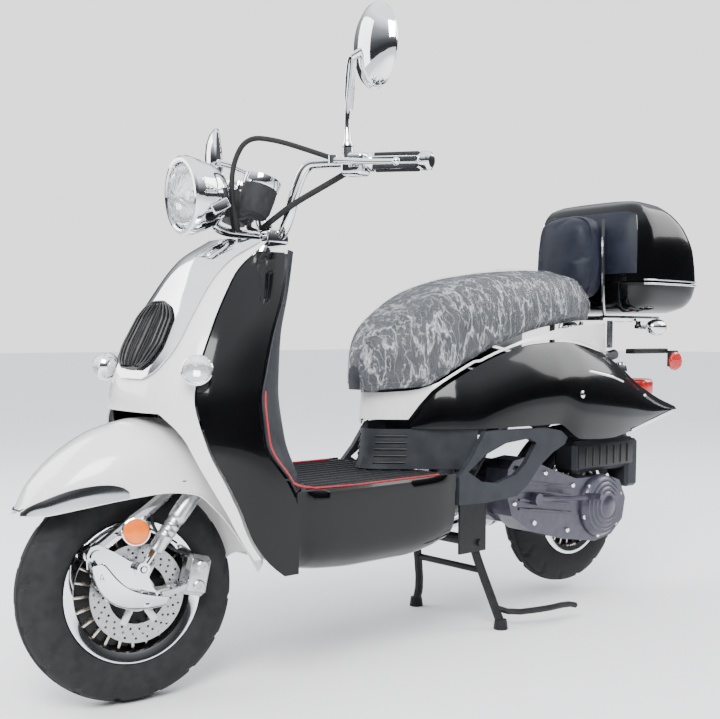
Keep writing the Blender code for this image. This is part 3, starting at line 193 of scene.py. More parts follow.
def inner_shield_y(x, z, extra=0.0):
    half = spline(SHIELD_HALF, z) - 0.004
    rear = spline(REAR_Y, z) + 0.010
    share = min(abs(x) / half, 1.0)
    return rear + (spline(SHIELD_CENTRE_Y, z) - rear) * (1 - share**2.2) + extra


def vent_point(share, z):
    """A point of the grey panel below the white band, share 0 at the nose and 1 behind."""
    y = 0.614 + 0.172 * share - 0.016 * ((0.493 - z) / 0.091) ** 2 * (1 - share)
    return Vector((spline(VENT_HALF, 0.614 + 0.172 * share), y, z))


def band_point(y, share):
    """A point of the white band between the side cowl and the seat, share 0 at its lower edge."""
    low = spline(COWL_TOP, y) + (0.008 if y > 0.80 else 0.014) if y > 0.68 else 0.515
    high = spline(SEAT_BOTTOM, y) - 0.007
    if y < 0.728:
        low = min(low, high - 0.005)
    return Vector((spline(BAND_HALF, y) + 0.004 * (1 - share), y, low + max(high - low, 0.004) * share))


def cowl_point(y, share, side):
    bottom = Vector((spline(COWL_BOTTOM_X, y), y, spline(COWL_BOTTOM, y)))
    top = Vector((spline(COWL_TOP_X, y), y, spline(COWL_TOP, y)))
    spot = bottom.lerp(top, share)
    spot.x += spline(COWL_BULGE, y) * math.sin(math.pi * min(share * 0.94 + 0.06, 1.0)) ** 0.8
    spot.x *= side
    return spot


def seat_ring(y):
    low = spline(SEAT_BOTTOM, y) + 0.003
    top = spline(SEAT_TOP, y)
    half = spline(SEAT_HALF, y)
    ring = []
    for deg in range(0, 181, 6):
        angle = math.radians(deg)
        ring.append(Vector((half * squarer(math.cos(angle), 0.55), y,
                            low + 0.02 + (top - low - 0.02) * math.sin(angle) ** 0.75)))
    return ring + [Vector((-half * 0.93, y, low)), Vector((half * 0.93, y, low))]


def trunk_ring(level, grow=0.0):
    z, front, rear, half = level
    middle, reach = (front + rear) / 2, (rear - front) / 2
    return [Vector(((half + grow) * c, middle + (reach + grow) * s, z)) for c, s in squared_ring(0.36)]


def fender_point(station, degrees):
    crown_y, crown_z, edge_y, edge_z, half = station
    angle = math.radians(degrees)
    rise = max(math.cos(angle), 0) ** 0.62
    return Vector((half * math.sin(angle), edge_y + (crown_y - edge_y) * rise,
                   edge_z + (crown_z - edge_z) * rise))


BAR_LINE = (BAR_END - BAR_START).normalized()


def bar_spot(distance, side=1):
    """A point on the straight end of the handlebar, this far from its inner end."""
    spot = BAR_START + BAR_LINE * distance
    return Vector((spot.x * side, spot.y, spot.z))


def bar_direction(side):
    return Vector((BAR_LINE.x * side, BAR_LINE.y, BAR_LINE.z))


# ---- materials -----------------------------------------------------------------------------------
def new_material(name, values):
    made = bpy.data.materials.new(name)
    made.use_nodes = True
    shader = made.node_tree.nodes["Principled BSDF"]
    for socket, value in values.items():
        shader.inputs[socket].default_value = value
    return made, made.node_tree, shader


def add_node(tree, kind, values=None, links=None, **settings):
    """A new shader node with these settings, these input values and these results linked in."""
    node = tree.nodes.new("ShaderNode" + kind)
    for name, value in settings.items():
        setattr(node, name, value)
    for name, value in (values or {}).items():
        node.inputs[name].default_value = value
    for name, source in (links or {}).items():
        tree.links.new(source, node.inputs[name])
    return node


def object_noise(tree, scale, detail=4.0, stretch=(1, 1, 1)):
    """A noise texture in the object's own coordinates, which for every piece are metres."""
    place = add_node(tree, "TexCoord")
    mapping = add_node(tree, "Mapping", {"Scale": stretch}, {"Vector": place.outputs["Object"]})
    texture = add_node(tree, "TexNoise", {"Scale": scale, "Detail": detail},
                       {"Vector": mapping.outputs["Vector"]})
    return texture.outputs["Fac"]


def ramp(tree, value, low, high):
    """Maps a 0 to 1 value between two colours or two greys."""
    node = add_node(tree, "ValToRGB", links={"Fac": value})
    for element, place, colour in zip(node.color_ramp.elements, (0.3, 0.7), (low, high)):
        element.position = place
        element.color = (*colour, 1) if isinstance(colour, tuple) else (colour, colour, colour, 1)
    return node.outputs["Color"]


def bump(tree, value, strength, distance):
    node = add_node(tree, "Bump", {"Strength": strength, "Distance": distance}, {"Height": value})
    return node.outputs["Normal"]


def finish_of(name, low, high, rough, metallic=0.0, scale=30.0, grain=None, coat=0.0, stretch=(1, 1, 1)):
    """Colour and roughness vary a little between two values; grain is (noise scale, bump strength, depth)."""
    made, tree, shader = new_material(name, {"Metallic": metallic, "Coat Weight": coat,
                                             "Coat Roughness": 0.04})
    wear = object_noise(tree, scale, 5.0, stretch)
    tree.links.new(ramp(tree, wear, low, high), shader.inputs["Base Color"])
    tree.links.new(ramp(tree, wear, *rough), shader.inputs["Roughness"])
    if grain:
        texture = object_noise(tree, grain[0], 6.0, stretch)
        tree.links.new(bump(tree, texture, *grain[1:]), shader.inputs["Normal"])
    return made


WHITE = finish_of("white_paint", (0.78, 0.765, 0.755), (0.82, 0.805, 0.795), (0.22, 0.30), scale=9,
                  coat=0.9)
BLACK = finish_of("black_paint", (0.0012, 0.0012, 0.0014), (0.0024, 0.0024, 0.0028), (0.10, 0.16), scale=7,
                  coat=0.25)
BLACK.node_tree.nodes["Principled BSDF"].inputs["Specular IOR Level"].default_value = 0.16
GREY = finish_of("grey_plastic", (0.016, 0.018, 0.022), (0.028, 0.031, 0.037), (0.42, 0.58), scale=24,
                 grain=(1400, 0.35, 0.0004))
FRAME_PAINT = finish_of("frame_paint", (0.008, 0.008, 0.009), (0.018, 0.018, 0.019), (0.32, 0.5), scale=40,
                        grain=(500, 0.15, 0.0004))
CHROME = finish_of("chrome", (0.74, 0.75, 0.77), (0.84, 0.84, 0.85), (0.04, 0.09), 1.0, scale=12)
ALLOY = finish_of("alloy", (0.50, 0.51, 0.52), (0.66, 0.66, 0.66), (0.22, 0.38), 1.0, scale=60,
                  grain=(900, 0.12, 0.0003))
FIN_METAL = finish_of("polished_fins", (0.50, 0.44, 0.36), (0.68, 0.63, 0.56), (0.20, 0.32), 1.0, scale=80)
BARREL = finish_of("rim_black", (0.010, 0.010, 0.011), (0.02, 0.02, 0.021), (0.28, 0.42), scale=60)
RUBBER = finish_of("tyre_rubber", (0.011, 0.011, 0.012), (0.024, 0.024, 0.025), (0.62, 0.85), scale=50,
                   grain=(700, 0.3, 0.0006))
GRIP_RUBBER = finish_of("grip_rubber", (0.012, 0.012, 0.013), (0.024, 0.024, 0.026), (0.55, 0.75), scale=90,
                        grain=(1200, 0.3, 0.0005))
VINYL = finish_of("seat_vinyl", (0.020, 0.022, 0.027), (0.038, 0.040, 0.047), (0.38, 0.52), scale=36,
                  grain=(420, 0.5, 0.0010))
NAVY = finish_of("pad_vinyl", (0.007, 0.009, 0.016), (0.013, 0.016, 0.027), (0.42, 0.56), scale=30,
                 grain=(520, 0.4, 0.0008))
ENGINE = finish_of("engine_paint", (0.030, 0.028, 0.044), (0.055, 0.051, 0.078), (0.28, 0.42), 0.35,
                   scale=45, grain=(600, 0.3, 0.0006), coat=0.3)
STEEL = finish_of("steel", (0.36, 0.36, 0.37), (0.52, 0.52, 0.53), (0.24, 0.42), 1.0, scale=30,
                  stretch=(1, 8, 8))
AMBER = finish_of("amber_lens", (0.72, 0.12, 0.001), (0.84, 0.18, 0.002), (0.12, 0.20), scale=40,
                  grain=(260, 0.5, 0.0012), coat=0.2)
RED = finish_of("red_lens", (0.42, 0.006, 0.006), (0.60, 0.012, 0.01), (0.08, 0.16), scale=40,
                grain=(260, 0.5, 0.0012), coat=1.0)
PIPING = finish_of("red_piping", (0.30, 0.012, 0.016), (0.42, 0.02, 0.024), (0.4, 0.55), scale=60)
DIAL = finish_of("dial_face", (0.01, 0.01, 0.012), (0.03, 0.03, 0.033), (0.3, 0.4), scale=120)
for dull in (GREY, FRAME_PAINT, RUBBER, GRIP_RUBBER, VINYL, NAVY, BARREL, DIAL):
    dull.node_tree.nodes["Principled BSDF"].inputs["Specular IOR Level"].default_value = 0.22
MIRROR_GLASS = finish_of("mirror_glass", (0.86, 0.88, 0.90), (0.90, 0.92, 0.93), (0.01, 0.02), 1.0, scale=5)


def clear_plastic():
    """The lens plastic: clear, with the moulded ribs as fine bump."""
    made, tree, shader = new_material("clear_lens", {
        "Base Color": (0.92, 0.94, 0.95, 1), "Roughness": 0.05, "Transmission Weight": 0.75, "IOR": 1.35})
    tree.links.new(bump(tree, object_noise(tree, 90, 2.0, (3, 0.4, 0.4)), 0.35, 0.002),
                   shader.inputs["Normal"])
    return made


def wrapping_film():
    """The clear crinkled film over the saddle: see-through, with fine pale lines in two sizes painted on as
    highlights where light glints on its crinkles.
    """
    made, tree, shader = new_material("wrapping_film", {
        "Base Color": (0.80, 0.82, 0.85, 1), "Roughness": 0.14, "Specular IOR Level": 0.8})

    def worked_out(operation, *parts):
        """One step of arithmetic on plain numbers and other nodes' results."""
        node = add_node(tree, "Math", operation=operation)
        for socket, part in zip(node.inputs, parts):
            if isinstance(part, float):
                socket.default_value = part
            else:
                tree.links.new(part, socket)
        return node.outputs["Value"]

    def glint_lines(scale, stretch, width):
        """Thin bright lines where a noise field crosses its middle value: painted highlights for light
        glinting on the film's crinkles.
        """
        value = object_noise(tree, scale, 7.0, stretch)
        away = worked_out("ABSOLUTE", worked_out("SUBTRACT", value, 0.5))
        line = add_node(tree, "MapRange", {"From Max": width, "To Min": 0.34, "To Max": 0.0},
                        {"Value": away})
        return value, line.outputs["Result"]

    broad, broad_glints = glint_lines(16, (1.0, 1.6, 0.45), 0.030)
    fine, fine_glints = glint_lines(38, (1.0, 1.5, 0.5), 0.018)
    lines = worked_out("ADD", broad_glints, fine_glints)
    # The pale lines in the film's alpha are painted highlights: light glinting on the crinkles, painted in as
    # colour.
    tree.links.new(worked_out("ADD", lines, 0.06), shader.inputs["Alpha"])
    tree.links.new(bump(tree, worked_out("ADD", broad, fine), 0.9, 0.012), shader.inputs["Normal"])
    return made


CLEAR = clear_plastic()
FILM = wrapping_film()

# ---- placing pieces ------------------------------------------------------------------------------
ROOT = Matrix.Translation(ROOT_SHIFT)
STEERED = (ROOT @ Matrix.Translation(AXIS_FOOT) @ Matrix.Rotation(STEER_REST, 4, AXIS_DIR)
           @ Matrix.Translation(-AXIS_FOOT))
IN_STEERED = ("steering_assembly", "throttle", "left_lever", "right_lever", "left_mirror", "right_mirror",
              "front_links", "shock_bodies", "shock_rods", "front_wheel")


def placed(name, data):
    """A new object in the scene, with this mesh, light or camera as its data."""
    made = bpy.data.objects.new(name, data)
    bpy.context.scene.collection.objects.link(made)
    return made


def piece(name, mesh, body, finish, stands_for=(), smooth=True, angle=35):
    """Adds a piece whose mesh is in the design frame, and says what it rides on and stands for."""
    mesh.transform(STEERED if body in IN_STEERED else ROOT)
    made = placed(name, mesh)
    mesh.materials.append(finish)
    if smooth:
        mesh.shade_smooth()
        mesh.set_sharp_from_angle(angle=math.radians(angle))
    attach(made, body)
    if stands_for:
        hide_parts(*stands_for)
    return made


def mesh_of(points, faces, face_out=True):
    """A mesh of these faces; doubled points are merged, and points of no face are dropped."""
    mesh = bpy.data.meshes.new("piece")
    mesh.from_pydata([tuple(p) for p in points], [], faces)
    work = bmesh.new()
    work.from_mesh(mesh)
    bmesh.ops.delete(work, geom=[v for v in work.verts if not v.link_faces], context="VERTS")
    bmesh.ops.remove_doubles(work, verts=work.verts, dist=1e-6)
    if face_out:
        bmesh.ops.recalc_face_normals(work, faces=work.faces)
    work.to_mesh(mesh)
    work.free()
    return mesh


def grid_faces(height, width, wrap=False, keep=None):
    """Faces between neighbouring rows of points, closed round where wrap is set."""
    faces = []
    for r in range(height - 1):
        for c in range(width if wrap else width - 1):
            if keep is None or keep(r, c):
                d = (c + 1) % width
                faces.append((r * width + c, r * width + d, (r + 1) * width + d, (r + 1) * width + c))
    return faces


def round_faces(count, size, closed=False):
    """Faces between neighbouring profiles of a turned shape, each of this size."""
    faces = []
    for i in range(count):
        j = (i + 1) % count
        for k in range(size if closed else size - 1):
            m = (k + 1) % size
            faces.append((i * size + k, j * size + k, j * size + m, i * size + m))
    return faces


def sheet(rows, thickness, outward=1, keep=None, wrap=False):
    """A curved sheet through rows of points, with a wall of this thickness behind it."""
    points = [p for row in rows for p in row]
    shape = placed("shape", mesh_of(points, grid_faces(len(rows), len(rows[0]), wrap, keep),
                                    face_out=False))
    wall = shape.modifiers.new("wall", "SOLIDIFY")
    wall.thickness = thickness
    wall.offset = -outward
    return baked(shape)


def baked(shape):
    """The object's mesh with its modifiers applied; the object goes."""
    bpy.context.view_layer.update()
    made = bpy.data.meshes.new_from_object(shape.evaluated_get(bpy.context.evaluated_depsgraph_get()))
    made.transform(shape.matrix_basis)
    bpy.data.objects.remove(shape)
    return made


def lofted(rings, cap=True):
    size = len(rings[0])
    ends = [tuple(range(size)), tuple(range((len(rings) - 1) * size, len(rings) * size))] if cap else []
    return mesh_of([p for ring in rings for p in ring], ends + grid_faces(len(rings), size, wrap=True))


def turn_to(direction):
    return Vector(UP).rotation_difference(Vector(direction)).to_matrix().to_4x4()


def turned(profile, centre, direction, count=64, wave=None):
    """A shape turned about a direction. wave(radius, angle) may change the radius around the turn."""
    points = []
    for i in range(count):
        angle = 2 * math.pi * i / count
        for radius, along in profile:
            r = wave(radius, angle) if wave else radius
            points.append(Vector((r * math.cos(angle), r * math.sin(angle), along)))
    mesh = mesh_of(points, round_faces(count, len(profile)))
    mesh.transform(Matrix.Translation(Vector(centre)) @ turn_to(direction))
    return mesh


def smooth_path(points, rounds=3):
    path = [Vector(p) for p in points]
    for _ in range(rounds):
        cut = [path[0]]
        for a, b in zip(path, path[1:]):
            cut += [a.lerp(b, 0.25), a.lerp(b, 0.75)]
        path = cut + [path[-1]]
    return path


def tube(points, radius, rounds=3, sides=14, flat=1.0):
    """A round or flattened bar swept along a smoothed path."""
    path = smooth_path(points, rounds)
    rings = []
    normal = None
    for i, spot in enumerate(path):
        along = (path[min(i + 1, len(path) - 1)] - path[max(i - 1, 0)]).normalized()
        if normal is None:
            normal = along.orthogonal().normalized()
        normal = (normal - along * normal.dot(along)).normalized()
        across = along.cross(normal)
        size = radius(i / (len(path) - 1)) if callable(radius) else radius
        rings.append([spot + (normal * math.cos(a) + across * math.sin(a) * flat) * size
                      for a in (2 * math.pi * k / sides for k in range(sides))])
    return lofted(rings)


def block(size, location, bevel=0.003, turn=None, segments=3):
    work = bmesh.new()
    bmesh.ops.create_cube(work, size=1.0, matrix=Matrix.Diagonal((*size, 1)))
    bmesh.ops.bevel(work, geom=work.edges[:], offset=bevel, segments=segments, affect="EDGES", profile=0.5)
    mesh = bpy.data.meshes.new("block")
    work.to_mesh(mesh)
    work.free()
    mesh.transform(Matrix.Translation(Vector(location)) @ (turn or Matrix.Identity(4)))
    return mesh


def joined(*meshes):
    work = bmesh.new()
    for mesh in meshes:
        work.from_mesh(mesh)
    made = bpy.data.meshes.new("joined")
    work.to_mesh(made)
    work.free()
    return made


# ---- front cowl, leg shield and floor ------------------------------------------------------------
ARCH_TOP = 0.56


def front_cowl():
    """The white nose: two sides beside the wheel arch, joined above it."""
    def seam_at(z):
        return spline(SEAM_DEG, z) - 0.5

    beside = 10
    low = spread(0.28, ARCH_TOP, 22)
    rows = []
    for z in low + spread(ARCH_TOP, 0.893, 40)[1:]:
        seam = seam_at(z)
        if z <= ARCH_TOP:
            arch = spline(ARCH_DEG, z)
        else:
            arch = spline(ARCH_DEG, ARCH_TOP) * seam / seam_at(ARCH_TOP)
        half = [arch + (seam - arch) * s for s in spread(1, 0, beside)]
        half += [arch * s for s in spread(1, 0, 14)[1:-1]]
        rows.append([shield_point(z, a) for a in (*half, 0.0, *(-a for a in reversed(half)))])
    cells = len(rows[0]) - 1

    def kept(row, cell):
        return row >= len(low) - 1 or not beside - 1 <= cell <= cells - beside

    piece("front_cowl_skin", sheet(rows, WALL, -1, kept), "chassis", WHITE, ("front_cowl",))


def leg_panels():
    """The black sides of the leg shield, each with its edge turned in at the back."""
    for ending, side in SIDES:
        rows = []
        for z in spread(0.24, 0.872, 44):
            seam = spline(SEAM_DEG, z) + 1.2
            row = [shield_point(z, side * a) for a in spread(seam, 90, 16)]
            edge = row[-1]
            row += [edge + Vector((-0.004 * side, 0.0025, 0)), edge + Vector((-0.014 * side, 0.004, 0))]
            rows.append(row)
        mesh = sheet(rows, WALL, side)
        piece(f"leg_panel_skin_{ending}", mesh, "chassis", BLACK, (f"leg_panel_{ending}",))


def inner_shield():
    """The grey inner face of the leg shield, hollowed toward its middle."""
    rows = []
    for z in spread(0.402, 0.878, 30):
        half = spline(SHIELD_HALF, z) - 0.004
        rows.append([Vector((x, inner_shield_y(x, z), z)) for x in spread(-half, half, 33)])
    piece("inner_shield_skin", sheet(rows, WALL, 1), "chassis", GREY, ("inner_leg_shield",))


def chrome_trim():
    """The bright shield on the nose, narrow below and wide above."""
    rows = [[shield_point(z, a, 0.0062) for a in spread(spline(CHROME_DEG, z), -spline(CHROME_DEG, z), 31)]
            for z in spread(0.622, 0.893, 40)]
    piece("chrome_shield", sheet(rows, 0.003, -1), "chassis", CHROME,
          ("chrome_front_trim",))


def grille():
    """A dark oval with upright slats that stand a little proud of the chrome shield."""
    def edge(z):
        return spline(GRILLE_DEG, z)

    heights = spread(0.640, 0.765, 30)
    back = sheet([[shield_point(z, a, 0.0095) for a in spread(edge(z), -edge(z), 17)] for z in heights],
                 0.002, -1)
    outline = [shield_point(z, edge(z), 0.0115) for z in heights]
    outline += [shield_point(z, -edge(z), 0.0115) for z in reversed(heights)]
    rim = tube(outline + outline[:1], 0.0022, 1, 8)
    slats = []
    for share in spread(-0.82, 0.82, 8):
        inside = [z for z in heights if edge(z) * abs(share) < edge(z) - 0.5][1:-1]
        slats.append(tube([shield_point(z, edge(z) * share, 0.0125) for z in inside], 0.0024, 1, 8))
    piece("grille_slats", joined(back, rim, *slats), "chassis", BARREL, ("grille",))


def front_signals():
    """The front turn signals: a bright shell with a clear fluted lens."""
    for ending, side in SIDES:
        spot = shield_point(0.632, side * 51)
        facing = (shield_point(0.632, side * 51, 0.01) - spot).normalized()
        seat = spot + facing * 0.018
        shell = turned(((0.0, -0.013), (0.012, -0.013), (0.018, -0.010), (0.027, 0.0), (0.0295, 0.010),
                        (0.0295, 0.014), (0.0275, 0.016), (0.0255, 0.014), (0.0, 0.004)), seat, facing, 48)
        lens = turned(((0.0258, 0.014), (0.0252, 0.020), (0.0215, 0.028), (0.0150, 0.035), (0.007, 0.039),
                       (0, 0.040)), seat, facing, 96, lambda r, a: r * (1 + 0.012 * math.cos(24 * a)))
        piece(f"front_signal_shell_{ending}", shell, "chassis", CHROME,
              (f"front_signal_{ending}",))
        piece(f"front_signal_lens_{ending}", lens, "chassis", CLEAR)


def floor_and_belly():
    """The floor's rubber ribs, its red piping, the sills and the belly pan."""
    ribs = []
    for x in spread(-0.165, 0.165, 12):
        start = inner_shield_y(x, 0.402, 0.018)
        end = min(0.688, spline([(half, y) for y, half in VENT_HALF], abs(x)) - 0.020)
        ribs.append(tube(((x, start, 0.3985), (x, end, 0.3985)), 0.0028, 0, 8))
    piece("floor_ribs", joined(*ribs), "chassis", GRIP_RUBBER)
    for ending, side in SIDES:
        line = []
        for z in spread(0.60, 0.415, 10):
            x = spline(SHIELD_HALF, z) - 0.008
            line.append(Vector((x * side, inner_shield_y(x, z, 0.004), z)))
        line += [Vector((0.192 * side, 0.33, 0.4005)), Vector((0.190 * side, 0.66, 0.4005))]
        piece(f"floor_piping_{ending}", tube(line, 0.0026, 1, 8), "chassis", PIPING)
        sill = []
        for y in spread(0.258, 0.699, 34):
            top, foot, half = row_at(BELLY, y)
            row = [Vector((0.2065 * side, y, 0.4015)), Vector(((half + 0.0065) * side, y, 0.396)),
                   Vector(((half + 0.007) * side, y, 0.38))]
            for a in spread(90, 20, 16):
                c, sine = math.cos(math.radians(a)), math.sin(math.radians(a))
                row.append(Vector(((half + 0.0055) * side * sine ** 0.45, y,
                                   top - (top - foot + 0.003) * c ** 0.5)))
            sill.append(row)
        piece(f"sill_skin_{ending}", sheet(sill, 0.002, side), "chassis", BLACK)
    rows = []
    for y in spread(BELLY[0][0], BELLY[-1][0], 30):
        top, foot, half = row_at(BELLY, y)
        row = []
        for a in spread(-90, 90, 25):
            c, s = math.cos(math.radians(a)), math.sin(math.radians(a))
            row.append(Vector((half * squarer(s, 0.45), y, top - (top - foot) * c ** 0.5)))
        rows.append(row)
    piece("belly_skin", sheet(rows, 0.003, -1), "chassis", BLACK, ("belly_pan",))


def under_seat_vents():
    """The grey panel between the floor and the white band, with five louvres on each side."""
    rows = []
    for z in spread(0.402, 0.493, 10):
        left = [vent_point(share, z) for share in spread(1, 0.04, 28)]
        rows.append(left + [vent_point(0, z)] + other_side(reversed(left)))
    piece("under_seat_skin", sheet(rows, WALL, 1), "chassis", GREY, ("under_seat_panel",))
    slats = []
    for z in spread(0.418, 0.478, 5):
        line = []
        for share in spread(0.05, 0.34, 12):
            spot, ahead = vent_point(share, z), vent_point(share + 0.02, z)
            along = (ahead - spot).normalized()
            line.append(spot + Vector((along.y, -along.x, 0)) * 0.0015)
        slats += [tube(line, 0.0042, 1, 10, 0.7), tube(other_side(line), 0.0042, 1, 10, 0.7)]
    piece("vent_louvres", joined(*slats), "chassis", FRAME_PAINT)


# ---- rear body -----------------------------------------------------------------------------------
def seat_band():
    """The white band under the seat, in one piece round its nose."""
    ys = spread(1.32, 0.76, 30) + [0.74, 0.724, 0.71, 0.69, 0.672, 0.65, 0.632, 0.618]
    rows = []
    for share in spread(0, 1, 9):
        left = [band_point(y, share) for y in ys]
        nose = Vector((0, 0.612, left[-1].z))
        rows.append(left + [nose] + other_side(reversed(left)))
    piece("seat_band_skin", sheet(rows, WALL, 1), "chassis", WHITE, ("seat_cowl",))


def side_cowls():
    """The black side cowls with their bright tail trims, strip and round badge."""
    for ending, side in SIDES:
        rows = [[cowl_point(y, share, side) for share in spread(0, 1, 21)] for y in spread(0.676, 1.70, 70)]
        mesh = sheet(rows, WALL, side)
        piece(f"side_cowl_skin_{ending}", mesh, "chassis", BLACK, (f"side_cowl_{ending}",))

        def proud(y, share):
            """A point just off the surface of the side cowl."""
            spot = cowl_point(y, share, side)
            back = cowl_point(y + 0.01, share, side) - spot
            across = (cowl_point(y, share + 0.03, side) - spot).cross(back)
            return spot + across.normalized() * math.copysign(0.0032, across.x * side)

        lower = [[proud(y, share) for share in spread(0.0, 0.04 + 0.26 * t ** 1.5, 6)]
                 for t, y in zip(spread(0, 1, 22), spread(1.36, 1.694, 22))]
        upper = [[proud(y, 0.70 - 0.34 * t + share) for share in spread(-0.025 - 0.02 * t, 0.025, 5)]
                 for t, y in zip(spread(0, 1, 18), spread(1.46, 1.694, 18))]
        trim = joined(sheet(lower, 0.0018, side), sheet(upper, 0.0018, side))
        piece(f"cowl_tail_trim_{ending}", trim, "chassis", CHROME)
        strip = [cowl_point(y, 0.72, side) + Vector((0.002 * side, 0, 0)) for y in spread(1.17, 1.33, 8)]
        dot = cowl_point(1.12, 0.46, side)
        badge = turned(((0.009, 0), (0.009, 0.0025), (0.006, 0.004), (0, 0.004)), dot, (side, 0, 0.1), 24)
        piece(f"cowl_strip_{ending}", joined(tube(strip, 0.0036, 1, 10), badge), "chassis", CHROME)


def saddle():
    """The long seat, its piping line and the crinkled film wrapped over it."""
    ys = [0.578 + 0.72 * (0.5 - 0.5 * math.cos(math.pi * t)) for t in spread(0, 1, 64)]
    rings = [seat_ring(y) for y in ys]
    piece("saddle_cover", lofted(rings), "saddle", VINYL, ("seat",), angle=50)
    film_rings = []
    for ring in rings:
        low = min(p.z for p in ring)
        middle = Vector((0, ring[0].y, low + 0.02))
        film = []
        for p in ring:
            crinkle = noise.fractal(p * 22, 0.9, 2.2, 5) * 0.0045 + abs(noise.noise(p * 9)) * 0.003
            lift = 0.0 if p.z < low + 0.006 else max(crinkle, -0.001)
            film.append(p + (p - middle).normalized() * (0.0022 + lift))
        film_rings.append(film)
    piece("saddle_film", lofted(film_rings, cap=False), "saddle", FILM, angle=70)
    rib = [seat_ring(y)[-1] + Vector((0.003, 0, 0.012)) for y in spread(0.60, 1.28, 30)]
    piece("saddle_seam", joined(tube(rib, 0.0018, 0, 8), tube(other_side(rib), 0.0018, 0, 8)), "saddle",
          VINYL)


def trunk():
    """The trunk's two shells, the bright strips along their joint and the pad on its front."""
    def level(z):
        return (z, *row_at(TRUNK_LEVELS, z))

    def half_shell(name, body, node, heights, top_cap):
        rings = [trunk_ring(level(z)) for z in heights]
        close = rings[-1] if top_cap else rings[0]
        middle = sum(close, Vector()) / len(close)
        crown = 0.006 if top_cap else 0.0
        fan = [[middle.lerp(p, s) + Vector((0, 0, crown * (1 - s * s))) for p in close]
               for s in spread(0.02, 0.98, 10)]
        rows = rings + fan[::-1] if top_cap else fan + rings
        piece(name, sheet(rows, 0.003, 1, wrap=True), body, BLACK, (node,))

    half_shell("trunk_base_skin", "chassis", "trunk_base", spread(0.768, 0.8462, 12), False)
    half_shell("trunk_lid_skin", "trunk_top", "trunk_lid", spread(0.8495, 1.066, 40), True)
    for name, body, z, size in (("trunk_strip", "chassis", 0.843, 0.0028),
                                ("trunk_lid_strip", "trunk_top", 0.853, 0.0018)):
        part = [p for p in trunk_ring(level(z), 0.0015) if p.y > 1.43]
        part.sort(key=lambda p: math.atan2(p.x, p.y - 1.5))
        piece(name, tube(part, size, 1, 10), body, CHROME)
    rows = []
    for z in spread(0.87, 1.035, 24):
        _, front, _, half = level(z)
        swell = 0.010 * math.sin(math.pi * (z - 0.87) / 0.165) ** 0.5
        row = []
        for t in spread(-0.9, 0.9, 31):
            bulge = swell * (1 - abs(t / 0.9) ** 6)
            row.append(Vector((half * t, front + 0.03 * abs(t) ** 7 - 0.0005 - bulge, z)))
        rows.append(row)
    made = piece("trunk_front_pad", sheet(rows, 0.003, 1), "trunk_top", NAVY, angle=60)


def swelled(mesh, cap):
    """Lets a padded cover swell under pressure as cloth, moving no point further than the cap."""
    even = placed("cover", mesh)
    grid = even.modifiers.new("even", "REMESH")
    grid.mode = "VOXEL"
    grid.voxel_size = 0.005
    cover = placed("cover", baked(even))
    start = [v.co.copy() for v in cover.data.vertices]
    cloth = cover.modifiers.new("cloth", "CLOTH").settings
    cloth.use_pressure = True
    cloth.uniform_pressure_force = 4.0
    cloth.effector_weights.gravity = 0.0
    for step in range(1, 21):
        bpy.context.scene.frame_set(step)
    made = baked(cover)
    bpy.context.scene.frame_set(1)
    for vert, first in zip(made.vertices, start):
        moved = vert.co - first
        if moved.length > cap:
            vert.co = first + moved.normalized() * cap
    return made


def backrest():
    """A soft pad with a crowned front and a piped edge."""
    stations = ((1.298, 0.030, 0.855, 0.968), (1.299, 0.045, 0.838, 0.985), (1.303, 0.062, 0.822, 1.002),
                (1.312, 0.076, 0.812, 1.012), (1.330, 0.087, 0.805, 1.019), (1.355, 0.0915, 0.802, 1.0225),
                (1.375, 0.0905, 0.803, 1.0215), (1.383, 0.084, 0.810, 1.014), (1.3845, 0.06, 0.83, 0.99))
    rings = [[Vector((half * c, y, (low + top) / 2 + (top - low) / 2 * s)) for c, s in squared_ring(0.5)]
             for y, half, low, top in stations]
    cushion = swelled(lofted(rings), 0.005)
    made = piece("backrest_cushion", cushion, "chassis", NAVY, ("backrest_pad",), angle=60)
    seam = [p + (p - Vector((0, p.y, 0.912))) * 0.006 for p in rings[4]]
    piece("backrest_piping", tube(seam + seam[:1], 0.0022, 0, 8), "chassis", NAVY)


def tail():
    """The side reflector on its bracket, the tail lamp and the two rear turn signals."""
    bracket = joined(block((0.030, 0.165, 0.014), (0.095, 1.580, 0.662), 0.003),
                     block((0.004, 0.050, 0.046), (0.118, 1.672, 0.640), 0.0015))
    piece("reflector_bracket", bracket, "chassis", FRAME_PAINT)
    reflector = turned(((0.026, 0), (0.026, 0.006), (0.022, 0.010), (0, 0.011)), (0.121, 1.676, 0.632),
                       (1, -0.12, 0), 40)
    piece("rear_reflector", reflector, "chassis", RED)
    lamp = block((0.112, 0.052, 0.052), (0, 1.655, 0.555), 0.014, segments=5)
    piece("tail_lamp_lens", lamp, "chassis", RED, ("tail_light",))
    for ending, side in SIDES:
        spot = (0.150 * side, 1.535, 0.728)
        barrel = turned(((0, -0.032), (0.008, -0.030), (0.017, -0.022), (0.0215, -0.006), (0.0225, 0.006),
                         (0.0215, 0.018), (0.0195, 0.020), (0, 0.016)), spot, BACKWARD, 48)
        stalk = tube(((0.110 * side, 1.53, 0.728), (0.140 * side, 1.53, 0.728)), 0.006, 0)
        piece(f"tail_signal_barrel_{ending}", joined(barrel, stalk), "chassis", CHROME,
              (f"tail_signal_{ending}",))
        lens = turned(((0.0195, 0.019), (0.018, 0.028), (0.012, 0.036), (0, 0.040)), spot, BACKWARD, 40)
        piece(f"tail_signal_lens_{ending}", lens, "chassis", AMBER)


